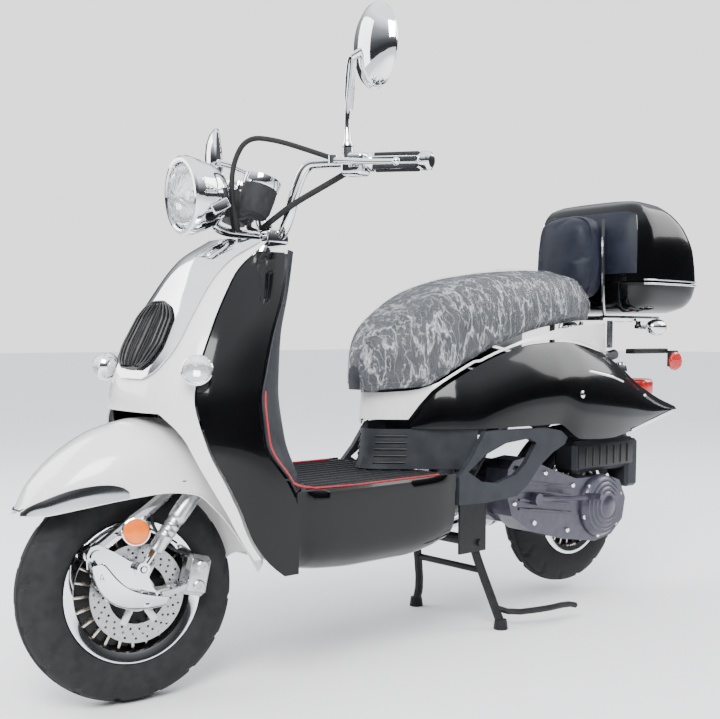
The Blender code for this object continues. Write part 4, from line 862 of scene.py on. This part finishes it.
# ---- wheels --------------------------------------------------------------------------------------
def tyre_mesh(centre):
    """A tyre with two grooves round the crown and slanted shoulder grooves cut into the tread."""
    half, groove = TYRE_HALF_WIDTH, 0.0045
    outer = ((0.1268, 0.0270), (0.1330, 0.0305), (0.1375, 0.0325), (0.1400, 0.0370), (0.150, half - 0.003),
             (0.160, half - 0.001), (0.168, half), (0.178, half - 0.0008), (0.186, half - 0.002),
             (0.194, half - 0.006), (0.202, half - 0.0115), (0.2075, half - 0.0175), (0.2110, 0.0210),
             (0.2130, 0.0150), (0.2142, 0.0100), (0.2148, 0.0055), (TYRE_RADIUS, 0.0015))
    profile = [*outer, *[(r, -a) for r, a in reversed(outer)]]
    count = 288
    points = []
    for i in range(count):
        angle = 2 * math.pi * i / count
        for radius, along in profile:
            side = 1 if along > 0 else -1
            depth = 0.0
            if radius > 0.192:
                phase = (i + side * (0.2148 - radius) * 260 + (9 if side > 0 else 0)) % 18
                depth = groove if phase < 3.2 and abs(along) > 0.007 else 0.0
            if abs(abs(along) - 0.0100) < 0.001:
                depth = groove
            r = radius - depth
            points.append(centre + Vector((along, r * math.cos(angle), r * math.sin(angle))))
    return mesh_of(points, round_faces(count, len(profile), closed=True))


def rim_meshes(centre):
    """The chrome lip, the black barrel and hub, and the short bright fins around them."""
    def ring(profile):
        return turned(profile, centre, ACROSS, 96)

    lip = [ring(((0.1262, 0.030 * s), (RIM_RADIUS, 0.0345 * s), (RIM_RADIUS, 0.038 * s),
                 (0.1300, 0.0375 * s), (0.1170, 0.034 * s), (0.1150, 0.030 * s), (0.1262, 0.030 * s)))
           for s in (1, -1)]
    barrel = ring(((0.1262, 0.030), (0.1150, 0.030), (0.1090, 0.012), (0.1090, -0.012), (0.1150, -0.030),
                   (0.1262, -0.030), (0.1262, 0.030)))
    dish = ring(((0.0085, 0.036), (0.024, 0.036), (0.030, 0.026), (0.050, 0.014), (0.109, 0.010),
                 (0.109, -0.004), (0.050, 0.0), (0.030, -0.026), (0.024, -0.036), (0.0085, -0.036),
                 (0.0085, 0.036)))
    fins = []
    inner, outer = 0.066, 0.1130
    for i in range(24):
        turn = Matrix.Rotation(2 * math.pi * i / 24, 4, "X")
        middle = centre + turn @ Vector((0.0145, (inner + outer) / 2, 0))
        fins.append(block((0.012, outer - inner, 0.0062), middle, 0.0018, turn, 2))
    return joined(*lip), joined(barrel, dish), joined(*fins)


def wheels():
    for label, centre, body in (("front", FRONT_AXLE, "front_wheel"), ("rear", REAR_AXLE, "rear_wheel")):
        piece(f"{label}_tyre_skin", tyre_mesh(centre), body, RUBBER, (f"{label}_tyre",),
              angle=28)
        lip, barrel, fins = rim_meshes(centre)
        piece(f"{label}_rim_lip", lip, body, CHROME, (f"{label}_rim",))
        piece(f"{label}_rim_barrel", barrel, body, BARREL)
        piece(f"{label}_rim_fins", fins, body, FIN_METAL)


def brake():
    """The drilled disc with its carrier, the caliper's ribs and the front hub cap."""
    centre = FRONT_AXLE + Vector((0.0550, 0, 0))
    disc = turned(((0.058, 0.0018), (0.094, 0.0018), (0.094, -0.0018), (0.058, -0.0018), (0.058, 0.0018)),
                  centre, ACROSS, 96)
    shape = placed("shape", disc)
    holes = []
    for i in range(24):
        for k, reach in enumerate((0.068, 0.077, 0.086)):
            angle = 2 * math.pi * (i + k * 0.33) / 24
            spot = centre + Vector((0, math.cos(angle) * reach, math.sin(angle) * reach))
            holes.append(turned(((0, -0.006), (0.0026, -0.006), (0.0026, 0.006), (0, 0.006)), spot, ACROSS,
                                10))
    cutter = placed("cutter", joined(*holes))
    cut = shape.modifiers.new("holes", "BOOLEAN")
    cut.operation = "DIFFERENCE"
    cut.solver = "EXACT"
    cut.object = cutter
    drilled = baked(shape)
    bpy.data.objects.remove(cutter)
    piece("drilled_disc", drilled, "front_wheel", STEEL, ("brake_disc",))
    arms = [turned(((0.0088, 0.004), (0.034, 0.004), (0.034, -0.003), (0.0088, -0.003), (0.0088, 0.004)),
                   centre, ACROSS, 48)]
    for i in range(6):
        turn = Matrix.Rotation(2 * math.pi * i / 6, 4, "X")
        arms.append(block((0.0046, 0.036, 0.015), centre + turn @ Vector((0, 0.047, 0)), 0.0015, turn, 2))
    piece("disc_carrier", joined(*arms), "front_wheel", ALLOY)
    tilt = Matrix.Rotation(-0.25, 4, "X")
    ribs = [block((0.006, 0.040, 0.064), (0.0862, 0.112, 0.238), 0.003, tilt)]
    for k in (-0.019, 0.019):
        at = Vector((0.0885, 0.112, 0.238)) + tilt @ Vector((0, 0.004, k))
        ribs.append(turned(((0.012, 0), (0.012, 0.004), (0.0095, 0.006), (0.0045, 0.006), (0.0045, 0.003),
                            (0, 0.003)), at, ACROSS, 32))
    piece("caliper_face", joined(*ribs), "front_links", ALLOY)
    bolt = turned(((0.011, 0), (0.011, 0.006), (0.009, 0.008), (0, 0.008)), (0.0825, 0, TYRE_RADIUS),
                  ACROSS, 6)
    piece("axle_nut", bolt, "front_links", CHROME)


# ---- front fork, fender and lamps ----------------------------------------------------------------
def fender_station(place):
    """The fender's section this many stations back from its tip."""
    return row_at([(i, *row) for i, row in enumerate(FENDER)], place)


def front_fender():
    """The front fender with its rolled edge, bright pointed tip and two screws."""
    def proud(station, degrees):
        """A point just off the fender."""
        spot = fender_point(station, degrees)
        return spot + (spot - Vector((0, station[2], station[3] - 0.02))).normalized() * 0.0030

    rows = []
    for place in spread(0, len(FENDER) - 1, 56):
        station = fender_station(place)
        rows.append([fender_point(station, deg) for deg in spread(-90, 90, 49)])
    piece("fender_skin", sheet(rows, WALL, 1), "steering_assembly", WHITE, ("front_fender",))
    thin, tip_end = 0.0015, 3.1
    right, left = [], []
    for place in spread(0, tip_end, 26):
        station = fender_station(place)
        reach = 0.24 * (1 - place / tip_end) ** 0.8 + 0.012
        right.append([proud(station, -90 * s) for s in spread(1, 1 - reach, 9)])
        left.append([proud(station, 90 * s) for s in spread(1 - reach, 1, 9)])
    nose = sheet([[a[-1].lerp(b[0], s) + Vector((0, -thin, 0)) for s in spread(0, 1, 7)]
                  for a, b in zip(right[:3], left[:3])], thin, 1)
    trim = joined(sheet(right, thin, 1), sheet(left, thin, 1), nose)
    piece("fender_tip_trim", trim, "steering_assembly", CHROME)
    for ending, side in SIDES:
        screw = turned(((0, 0.0), (0.0075, 0.0), (0.0075, 0.004), (0.005, 0.006), (0, 0.006)),
                       (0.1175 * side, 0.075, 0.428), (side, 0, 0.2), 24)
        piece(f"fender_screw_{ending}", screw, "steering_assembly", CHROME)
    rim = [row[0] for row in rows[6:]]
    edges = joined(tube(rim, 0.0022, 0, 8), tube(other_side(rim), 0.0022, 0, 8))
    piece("fender_edge", edges, "steering_assembly", WHITE)


def shocks():
    """The front shock covers, the bright cover of the front link and the side reflector on its arm."""
    for ending, side in SIDES:
        top = Vector((SHOCK_TOP.x * side, *SHOCK_TOP.yz))
        foot = Vector((SHOCK_FOOT.x * side, *SHOCK_FOOT.yz))
        along = (foot - top).normalized()
        reach = (foot - top).length
        profile = [(0.0078, 0.020), (0.0172, 0.020), (0.0176, 0.030), (0.0176, 0.088), (0.0168, 0.094),
                   (0.0150, 0.096)]
        for k in range(3):
            z = 0.104 + k * 0.012
            profile += [(0.0150, z), (0.0160, z + 0.002), (0.0160, z + 0.006), (0.0150, z + 0.008)]
        profile += [(0.0148, reach - 0.042), (0.0130, reach - 0.040), (0.0078, reach - 0.040),
                    (0.0078, 0.020)]
        cap = turned(((0, -0.012), (0.012, -0.012), (0.0152, -0.006), (0.0152, 0.020), (0, 0.0205)), top,
                     along, 40)
        body = joined(turned(profile, top, along, 48), cap)
        piece(f"shock_cover_{ending}", body, "shock_bodies", ALLOY,
              (f"front_shock_body_{ending}",))
    path = []
    for t in spread(0, 1, 20):
        bend = math.sin(math.pi * t)
        path.append(Vector((0.1060 + 0.004 * bend, -0.092 + 0.128 * t - 0.022 * bend,
                            0.286 - 0.084 * t - 0.022 * bend)))
    cover = tube(path, lambda t: 0.012 + 0.013 * math.sin(math.pi * min(max(t, 0.0), 1.0)) ** 0.8, 1, 24,
                 0.22)
    eyelets = [turned(((0.0055, -0.002), (0.0085, -0.002), (0.0085, 0.002), (0.0055, 0.002),
                       (0.0055, -0.002)), path[i] + Vector((0.0035, 0, 0)), ACROSS, 24) for i in (3, 15)]
    piece("link_cover", joined(cover, *eyelets), "front_links", CHROME)
    spot, facing = (0.1120, -0.020, 0.340), (1, -0.25, 0.05)
    reflector = turned(((0.024, 0), (0.024, 0.007), (0.0205, 0.011), (0.010, 0.0135), (0, 0.014)), spot,
                       facing, 48)
    ring = turned(((0.0240, -0.002), (0.0262, -0.002), (0.0262, 0.006), (0.0240, 0.007), (0.0240, -0.002)),
                  spot, facing, 48)
    piece("side_reflector", reflector, "steering_assembly", AMBER)
    arm = tube(((0.068, -0.045, 0.333), (0.090, -0.035, 0.336), (0.1115, -0.020, 0.340)), 0.004, 2, 8)
    piece("reflector_ring", joined(ring, arm), "steering_assembly", CHROME)


def headlight():
    centre = Vector((0, 0.150, 0.983))
    facing = Vector((0, -1, -0.06)).normalized()
    outer = ((0.0655, -0.004), (0.0655, 0.003), (0.0690, 0.0055), (0.0745, 0.0045), (0.0785, 0.0),
             (0.0790, -0.010), (0.0768, -0.018), (0.0740, -0.026), (0.0700, -0.042), (0.0640, -0.058),
             (0.0570, -0.071), (0.0480, -0.080), (0.035, -0.087), (0.022, -0.092), (0, -0.094))
    bracket = tube(((0, 0.203, 0.950), (0, 0.226, 0.916), (0, 0.295, 0.913), (0, 0.3185, 0.911)), 0.009, 3)
    ears = [block((0.006, 0.040, 0.020), (0.070 * s, 0.200, 0.955), 0.002, Matrix.Rotation(0.5, 4, "X"))
            for s in (1, -1)]
    piece("headlight_bowl", joined(turned(outer, centre, facing, 96), bracket, *ears), "steering_assembly",
          CHROME, ("headlight_shell",))
    reflector = turned(((0.064, -0.004), (0.058, -0.020), (0.044, -0.038), (0.022, -0.050), (0.009, -0.052),
                        (0.009, -0.030), (0, -0.028)), centre, facing, 64)
    piece("headlight_reflector", reflector, "steering_assembly", CHROME)
    flutes = turned(((0.0, 0.0125), (0.015, 0.012), (0.030, 0.0105), (0.045, 0.0075), (0.056, 0.0035),
                     (0.0645, -0.0025)), centre, facing, 180)
    for vertex in flutes.vertices:
        vertex.co += facing * 0.0009 * math.cos(vertex.co.x * 2 * math.pi / 0.0062)
    piece("headlight_glass", flutes, "steering_assembly", CLEAR, ("headlight_lens",))


def gauges():
    """The two round instruments with their bright rings."""
    up = Vector((0, 0.36, 1)).normalized()
    pods, rings, dials = [], [], []
    for x in (0.046, -0.046):
        foot = Vector((x, 0.282, 0.945))
        pods.append(turned(((0, 0), (0.028, 0), (0.033, 0.012), (0.0355, 0.040), (0.036, 0.062),
                            (0, 0.062)), foot, up, 64))
        rings.append(turned(((0.0362, 0.058), (0.0382, 0.062), (0.0382, 0.078), (0.0360, 0.0802),
                             (0.0330, 0.0785), (0.0330, 0.070), (0.0362, 0.058)), foot, up, 64))
        dials.append(turned(((0.0332, 0.0735), (0.010, 0.0735), (0.003, 0.0745), (0, 0.0745)), foot, up,
                            48))
    bridge = block((0.100, 0.020, 0.020), (0, 0.284, 0.955), 0.005)
    piece("gauge_pods", joined(*pods, bridge), "steering_assembly", GRIP_RUBBER,
          ("gauge_cluster",))
    piece("gauge_rings", joined(*rings), "steering_assembly", CHROME)
    piece("gauge_dials", joined(*dials), "steering_assembly", DIAL)


def mirrors():
    """The mirrors on their stems: the left one upright, the right one folded forward."""
    foot = bar_spot(0.061) + Vector((-0.006, -0.018, 0.0305))
    shapes = {"left": (1, Vector((0.061, 0.025, 0.185)), Vector((0.031, -0.002, 0.166)), 0.0),
              "right": (-1, Vector((0.003, -0.097, 0.040)), Vector((0.002, -0.052, 0.033)), -33.0)}
    for ending, (side, head_at, neck_at, turn_deg) in shapes.items():
        base = Vector((foot.x * side, foot.y, foot.z))
        neck, head = base + neck_at, base + head_at
        height = 0.060 if side == 1 else 0.018
        bend = base.lerp(neck, 0.5) + Vector((0, 0, height * 0.4))
        stem = tube((base, base + Vector((0, 0, height)), bend, neck), 0.0055, 3, 16)
        parts = [stem, turned(((0.011, 0), (0.011, 0.006), (0.0085, 0.010), (0.0065, height * 0.6),
                               (0, height * 0.6)), base, UP, 32)]
        if side == 1:
            parts.append(tube((base + Vector((0.004, 0.002, 0.070)), bend + Vector((0.004, 0.0, 0.03)),
                               neck), lambda t: 0.0085 + 0.002 * math.sin(math.pi * t), 3, 20, 0.55))
        parts.append(tube((neck, neck.lerp(head, 0.7)), 0.008, 0, 16))
        turn = Matrix.Translation(head) @ Matrix.Rotation(math.radians(turn_deg), 4, "Z")
        back = turned(((0, -0.0195), (0.25, -0.0185), (0.55, -0.0145), (0.80, -0.0070), (0.95, 0.0020),
                       (1.0, 0.0085), (0.985, 0.0125), (0.94, 0.0125), (0.93, 0.0095), (0, 0.0095)),
                      (0, 0, 0), BACKWARD, 72)
        glass = turned(((0.925, 0.0108), (0.5, 0.0108), (0, 0.0108)), (0, 0, 0), BACKWARD, 72)
        for mesh in (back, glass):
            across, tall = (0.0685, 0.083) if side == 1 else (0.0585, 0.072)
            mesh.transform(turn @ Matrix.Diagonal((across, 1, tall, 1)))
        piece(f"mirror_body_{ending}", joined(*parts, back), f"{ending}_mirror", CHROME,
              (f"mirror_{ending}",))
        piece(f"mirror_glass_{ending}", glass, f"{ending}_mirror", MIRROR_GLASS)


def bars_and_controls():
    """The handlebar, and for each side the grip, switch case and brake lever."""
    half = [Vector((0, 0.352, 0.905)), Vector((0.030, 0.353, 0.905)), Vector((0.058, 0.358, 0.935)),
            Vector((0.075, 0.366, 0.995)), Vector((0.095, 0.382, 1.046)), BAR_START - BAR_LINE * 0.02,
            bar_spot(0.02), BAR_END]
    bar = tube([*other_side(half[:0:-1]), *half], 0.0110, 3, 24)
    clamp = joined(block((0.075, 0.050, 0.034), (0, 0.346, 0.9075), 0.007, segments=4),
                   *[turned(((0.006, 0), (0.006, 0.005), (0.0045, 0.007), (0, 0.007)), (x, y, 0.9245), UP,
                            16) for x in (0.028, -0.028) for y in (0.330, 0.362)])
    piece("bar_tube", joined(bar, clamp), "steering_assembly", CHROME, ("handlebar",))
    for ending, side, body, node in (("left", 1, "steering_assembly", "grip_left"),
                                     ("right", -1, "throttle", "throttle_grip")):
        along = bar_direction(side)
        start = bar_spot(0.094, side)
        core = turned(((0.0114, 0), (0.0185, 0), (0.0190, 0.003), (0.0172, 0.007), (0.0152, 0.010),
                       (0.0152, 0.112), (0.0172, 0.116), (0.0185, 0.122), (0.0178, 0.132), (0.012, 0.137),
                       (0, 0.138)), start, along, 64)
        piece(f"grip_sleeve_{ending}", core, body, CHROME, (node,))
        strips = []
        for k in range(7):
            angle = 2 * math.pi * (k + 0.5) / 7
            across = turn_to(along) @ Vector((math.cos(angle), math.sin(angle), 0))
            strips.append(tube((start + along * 0.013 + across * 0.0145, start + along * 0.110
                                + across * 0.0145), 0.0050, 0, 14, 1.0))
        piece(f"grip_rubbers_{ending}", joined(*strips), body, GRIP_RUBBER)
        turn = Vector(ACROSS).rotation_difference(along * side).to_matrix().to_4x4()
        middle = bar_spot(0.061, side)
        parts = [block((0.052, 0.040, 0.046), middle + Vector((0, -0.004, -0.004)), 0.009, turn, 4),
                 turned(((0, 0), (0.011, 0), (0.011, 0.028), (0.009, 0.030), (0, 0.030)),
                        middle + Vector((-0.006 * side, -0.018, 0)), UP, 32),
                 block((0.022, 0.030, 0.012), middle + Vector((-0.004 * side, -0.034, 0.002)), 0.004, turn)]
        piece(f"switch_case_{ending}", joined(*parts), "steering_assembly", CHROME,
              (f"switch_housing_{ending}",))
        keys = [block((0.010, 0.004, 0.008), middle + Vector((dx * side, 0.0165, dz)), 0.0015, turn)
                for dx, dz in ((-0.012, 0.006), (0.006, 0.006), (-0.003, -0.010))]
        piece(f"switch_keys_{ending}", joined(*keys), "steering_assembly", GREY)
        start = bar_spot(0.066, side) + Vector((0, -0.062, 0))
        line = (start, bar_spot(0.095, side) + Vector((0, -0.066, -0.002)), bar_spot(0.14, side)
                + Vector((0, -0.052, -0.004)), bar_spot(0.205, side) + Vector((0, -0.056, -0.005)))
        lever = tube(line, lambda t: 0.0075 - 0.002 * t, 3, 20, 0.75)
        knob = turned(((0, -0.008), (0.0045, -0.0066), (0.0075, -0.003), (0.008, 0.0), (0.0075, 0.003),
                       (0.0045, 0.0066), (0, 0.008)), line[-1], along, 32)
        hub = turned(((0, -0.008), (0.009, -0.008), (0.009, 0.008), (0, 0.008)), start, UP, 32)
        piece(f"lever_blade_{ending}", joined(lever, knob, hub), f"{ending}_lever", CHROME,
              (f"brake_lever_{ending}",))


def cables():
    """Hoses and cables held at both ends on the steering assembly."""
    hose = ((0.176, 0.402, 1.043), (0.150, 0.378, 1.058), (0.095, 0.315, 1.090), (0.052, 0.272, 1.100),
            (0.030, 0.250, 1.050), (0.026, 0.246, 0.985), (0.020, 0.262, 0.915))
    piece("brake_hose_left", tube(hose, 0.0052, 3, 12), "steering_assembly", RUBBER)
    loom = ((0.190, 0.424, 1.018), (0.150, 0.398, 0.998), (0.095, 0.350, 0.965), (0.050, 0.322, 0.935),
            (0.020, 0.318, 0.925))
    piece("switch_loom_left", tube(loom, 0.0062, 3, 12), "steering_assembly", RUBBER)
    piece("switch_loom_right", tube(other_side(loom), 0.0062, 3, 12), "steering_assembly", RUBBER)
    slack = ((-0.176, 0.402, 1.043), (-0.140, 0.380, 1.034), (-0.085, 0.325, 1.030), (-0.045, 0.285, 1.030),
             (-0.022, 0.262, 0.990), (-0.014, 0.270, 0.915))
    piece("brake_cable_right", tube(slack, 0.0042, 3, 12), "steering_assembly", RUBBER)
    caliper_hose = ((0.078, 0.098, 0.280), (0.084, 0.050, 0.300), (0.070, 0.020, 0.360),
                    (0.040, 0.060, 0.430))
    piece("caliper_hose", tube(caliper_hose, 0.0032, 3, 10), "steering_assembly", RUBBER)


# ---- engine unit ---------------------------------------------------------------------------------
def engine():
    """The domed clutch cover, the case's bolts and ribs, the muffler shield and the airbox lid."""
    centre = Vector((0.1505, 1.298, 0.262))
    profile = [(0.083, 0.0), (0.083, 0.004), (0.079, 0.011)]
    for k in range(4):
        r = 0.074 - k * 0.012
        profile += [(r, 0.0165 + k * 0.0035), (r - 0.003, 0.0195 + k * 0.0035),
                    (r - 0.008, 0.0185 + k * 0.0035)]
    profile += [(0.024, 0.030), (0.020, 0.032), (0, 0.032)]
    piece("clutch_dome", turned(profile, centre, ACROSS, 96), "swing_unit", ENGINE,
          ("clutch_cover",))
    bolts = []
    for i in range(6):
        a = 2 * math.pi * i / 6 + 0.3
        spot = centre + Vector((0.004, math.cos(a) * 0.079, math.sin(a) * 0.079))
        bolts.append(turned(((0.0065, 0), (0.0065, 0.006), (0.005, 0.0075), (0, 0.0075)), spot, ACROSS, 6))
    for y, z in ((0.965, 0.385), (1.07, 0.365), (1.18, 0.325), (1.16, 0.212), (1.03, 0.245),
                 (0.955, 0.300)):
        bolts.append(turned(((0.007, 0), (0.007, 0.005), (0.005, 0.007), (0, 0.007)), (0.150, y, z), ACROSS,
                            6))
    piece("case_bolts", joined(*bolts), "swing_unit", CHROME)
    ribs = [tube(((0.1505, 0.975, z), (0.1525, 1.06, z - 0.012), (0.1505, 1.175, z - 0.030)), 0.0035, 2, 8)
            for z in (0.352, 0.330, 0.308, 0.286)]
    piece("case_ribs", joined(*ribs), "swing_unit", ENGINE)
    shield = turned(((0.0482, 0.060), (0.0500, 0.062), (0.0500, 0.250), (0.0482, 0.252)),
                    (-0.130, 1.10, 0.225), (0, 1, 0.14), 64)
    piece("muffler_shield", shield, "swing_unit", CHROME)
    lid = joined(block((0.004, 0.235, 0.060), (0.1465, 1.3275, 0.392), 0.0018),
                 *[block((0.004, 0.006, 0.050), (0.1485, y, 0.392), 0.0015) for y in spread(1.24, 1.42, 7)])
    piece("airbox_lid", lid, "swing_unit", BARREL)


def spring():
    """The rear shock with its coil."""
    foot = Vector((0.1075, 1.468, 0.442))
    top = Vector((0.1075, 1.436, 0.632))
    along = (top - foot).normalized()
    side = along.orthogonal().normalized()
    other = along.cross(side)
    length = (top - foot).length
    path = []
    for i in range(150):
        t = i / 149
        a = 2 * math.pi * 6.5 * t
        around = side * math.cos(a) + other * math.sin(a)
        path.append(foot + along * (0.024 + (length - 0.050) * t) + around * 0.0160)
    coil = tube(path, 0.0030, 0, 8)
    core = turned(((0, 0), (0.011, 0), (0.017, 0.014), (0.017, 0.022), (0.007, 0.024),
                   (0.007, length - 0.026), (0.017, length - 0.024), (0.017, length - 0.016),
                   (0.011, length), (0, length)), foot, along, 40)
    made = piece("rear_spring", joined(coil, core), "swing_unit", CHROME, ("rear_shock",))
    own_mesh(made)


def carried_over():
    """Gives each CAD node that is still shown its node-based finish."""
    finishes = {"frame_paint": FRAME_PAINT, "chrome": CHROME, "chrome_plastic": CHROME, "alloy": ALLOY,
                "steel": STEEL, "grey_plastic": GREY, "black_paint": BLACK, "white_paint": WHITE,
                "engine_paint": ENGINE, "tyre_rubber": RUBBER, "grip_rubber": GRIP_RUBBER,
                "seat_vinyl": VINYL, "clear_lens": CLEAR, "red_lens": RED}
    slots = {row["node"]: row["material_slot"] for row in frame["record"]["subparts"]}
    for name, made in frame["nodes"].items():
        made.data.materials.clear()
        made.data.materials.append(ENGINE if name == "kick_lever" else finishes[slots[name]])


# ---- stage ---------------------------------------------------------------------------------------
def studio():
    """A pale floor, a room that is bright above and dark at eye level, and three soft lamps."""
    reach = 40
    corners = [(x, y, -0.0005) for x, y in ((-reach, -reach), (reach, -reach), (reach, reach),
                                            (-reach, reach))]
    floor = placed("floor", mesh_of(corners, [(0, 1, 2, 3)]))
    made, tree, shader = new_material("studio_floor", {"Roughness": 0.8})
    tree.links.new(ramp(tree, object_noise(tree, 3), (0.90, 0.90, 0.90), (0.92, 0.92, 0.92)),
                   shader.inputs["Base Color"])
    floor.data.materials.append(made)
    world = bpy.data.worlds.new("studio")
    bpy.context.scene.world = world
    world.use_nodes = True
    tree = world.node_tree
    direction = add_node(tree, "TexCoord").outputs["Generated"]
    split = add_node(tree, "SeparateXYZ", links={"Vector": direction})
    height = add_node(tree, "MapRange", {"From Min": -1}, {"Value": split.outputs["Z"]})
    shade = add_node(tree, "ValToRGB", links={"Fac": height.outputs["Result"]})
    stops = ((0.0, 0.5), (0.44, 0.45), (0.485, 0.06), (0.55, 0.05), (0.62, 0.16), (0.72, 0.62), (0.84, 2.2))
    elements = shade.color_ramp.elements
    elements[0].position = stops[0][0]
    elements[1].position = stops[-1][0]
    for place, _ in stops[1:-1]:
        elements.new(place)
    for element, (_, grey) in zip(elements, stops):
        element.color = (grey * 0.94, grey * 0.98, grey * 1.04, 1)
    seen = add_node(tree, "LightPath").outputs["Is Camera Ray"]
    pick = add_node(tree, "Mix", {"B": (1.9, 1.9, 1.9, 1)}, {"Factor": seen, "A": shade.outputs["Color"]},
                    data_type="RGBA")
    tree.links.new(pick.outputs["Result"], tree.nodes["Background"].inputs["Color"])
    for name, spot, size, power, aim in (("key", (2.2, -2.6, 3.2), 2.0, 260, (0, 0, 0.5)),
                                         ("fill", (-3.0, -1.8, 2.2), 2.5, 90, (0, 0, 0.5)),
                                         ("back", (1.4, 3.4, 2.8), 2.4, 110, (0, 0.2, 0.6))):
        light = placed(name, bpy.data.lights.new(name, "AREA"))
        light.data.energy = power
        light.data.size = size
        light.location = spot
        light.rotation_euler = (Vector(aim) - Vector(spot)).to_track_quat("-Z", "Y").to_euler()


def camera():
    """The photograph's viewpoint, with the lens shifted rather than tilted."""
    made = placed("camera", bpy.data.cameras.new("camera"))
    azimuth, elevation = math.radians(49.11), math.radians(4.87)
    back = Vector((math.sin(azimuth) * math.cos(elevation), -math.cos(azimuth) * math.cos(elevation),
                   math.sin(elevation)))
    made.location = Vector((1.819, -0.975, 0.705)) + ROOT_SHIFT
    made.rotation_euler = back.to_track_quat("Z", "Y").to_euler()
    made.data.sensor_width = 36
    made.data.lens = 52.80
    made.data.shift_x = -0.002
    made.data.shift_y = 0.0918
    bpy.context.scene.camera = made


def main():
    for build in (camera, carried_over, front_cowl, leg_panels, inner_shield, chrome_trim, grille,
                  front_signals, floor_and_belly, under_seat_vents, seat_band, side_cowls, saddle, trunk,
                  backrest, tail, wheels, brake, front_fender, shocks, headlight, gauges, mirrors,
                  bars_and_controls, cables, engine, spring, studio):
        build()


main()
